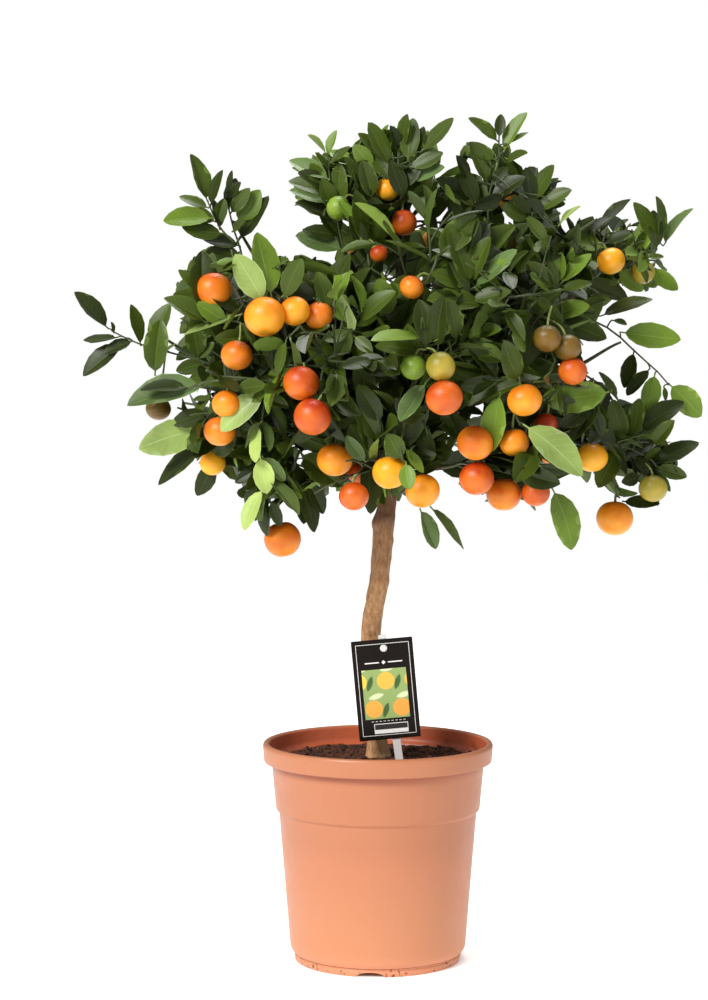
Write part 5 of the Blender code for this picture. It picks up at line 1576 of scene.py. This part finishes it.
def fruitShape(middle, radius, axis, rng):
    count = len(radius)
    down = np.linspace(0.10, np.pi - 0.08, fruitForm["rings"])[::-1][:, None]
    turn = np.linspace(0.0, 2.0 * np.pi, fruitForm["sides"], endpoint=False)
    height = np.cos(down) - fruitForm["dimple"] * np.exp(-(down / 0.34) ** 2)
    height = height + fruitForm["scar"] * np.exp(-((np.pi - down) / 0.20) ** 2)
    phase = rng.uniform(0.0, 2.0 * np.pi, (count, 1, 1))
    lobes = 1.0 + 0.020 * np.exp(-(down / 0.7) ** 2) * np.cos(8.0 * turn + phase)
    lobes = lobes + 0.012 * np.cos(2.0 * turn + phase)
    flat = np.sin(down) * lobes
    high = (fruitForm["squash"] * rng.uniform(0.96, 1.05, (count, 1, 1))) * height
    axes = (*squareTo(axis, fruitForm["hint"]), axis)
    rings = setOut(0.0 * middle, axes, (flat * np.cos(turn), flat * np.sin(turn), high * np.ones_like(flat)))
    uv = np.stack([np.zeros_like(rings[..., 0]), np.broadcast_to(down / np.pi, rings.shape[:-1])], axis=-1)
    return ringShape(middle[:, None, None] + radius[:, None, None, None] * rings, uv)


# each fruit hangs by a stalk from the nearest twig, out of a five-lobed calyx
def makeFruit():
    rng = np.random.default_rng(51)
    twigPoints = np.array(shootPaths)[:, 1:].reshape(-1, 3)
    roots = []
    for middle, radius in zip(fruitMiddles, fruitRadii):
        above = middle + (0.0, 0.0, radius + 0.008)
        far = np.linalg.norm(twigPoints - above, axis=1)
        far[np.linalg.norm(twigPoints - middle, axis=1) < radius + 0.004] = 1.0
        # rather not from in front of the fruit, nor from below
        inFront = twigPoints[:, 1] < middle[1] - 0.3 * radius
        below = twigPoints[:, 2] < middle[2] + 0.7 * radius
        far[inFront | below] += 0.06
        roots.append(twigPoints[far.argmin()])
    roots = np.array(roots)
    swing = rng.uniform(-0.25, 0.25, (len(roots), 3))
    axis = unit(unit(roots - fruitMiddles) * 0.8 + (0.0, 0.35, 0.80) + swing)
    for group, (name, (base, light, ripe)) in enumerate(peelColours.items()):
        before = list(peelColours.values())[group - 1][2] if group else -1.0
        chosen = (fruits[:, 5] > before) & (fruits[:, 5] <= ripe)
        shape = fruitShape(fruitMiddles[chosen], fruitRadii[chosen], axis[chosen], rng)
        peel = makePeel("calamondin peel, " + name, base, light)
        makePiece("fruit_" + name, shape, [peel], ["leaves_" + massNames[0]])
    seats = fruitMiddles + axis * (fruitRadii * fruitForm["squash"] * 0.84)[:, None]
    paths = np.array([bezier((root, 0.5 * (root + seat) + (0.0, 0.0, 0.004), seat + lean * 0.010, seat), 9)
                      for root, seat, lean in zip(roots, seats, axis)])
    stalks = tubeShape(paths, np.tile(np.linspace(0.0009, 0.0013, 9), (len(paths), 1)), 6)
    # calyx: a low cone whose rim goes in and out five times
    turn = np.linspace(0.0, 2.0 * np.pi, 20, endpoint=False)
    axes = (*squareTo(axis, fruitForm["hint"]), axis)
    rims = np.array(((0.0004, -0.0010), (0.0034, -0.0004), (0.0036, 0.0004), (0.0014, 0.0012),
                     (0.0006, 0.0014)))
    flat = rims[:, 0:1] * (1.0 + 0.28 * np.cos(5.0 * turn))
    tall = rims[:, 1:2] * np.ones_like(flat) + 0.0006
    stars = setOut(seats, axes, (flat * np.cos(turn), flat * np.sin(turn), tall))
    green, tree, shader, place = startMaterial("green fruit stalk", 0.60)
    noise = addNode(tree, "TexNoise", {"Vector": place, "Scale": 1.0 / 0.004, "Detail": 3.0})
    ramp = addNode(tree, "ValToRGB", {0: noise}, stops=((0.35, "#5C6B2A"), (0.65, "#8A8F4A")))
    feed(shader, {"Base Color": ramp})
    makePiece("fruit_stalks", joinShapes([stalks, ringShape(stars)]), [green])


makeFruit()
print("fruit ready")
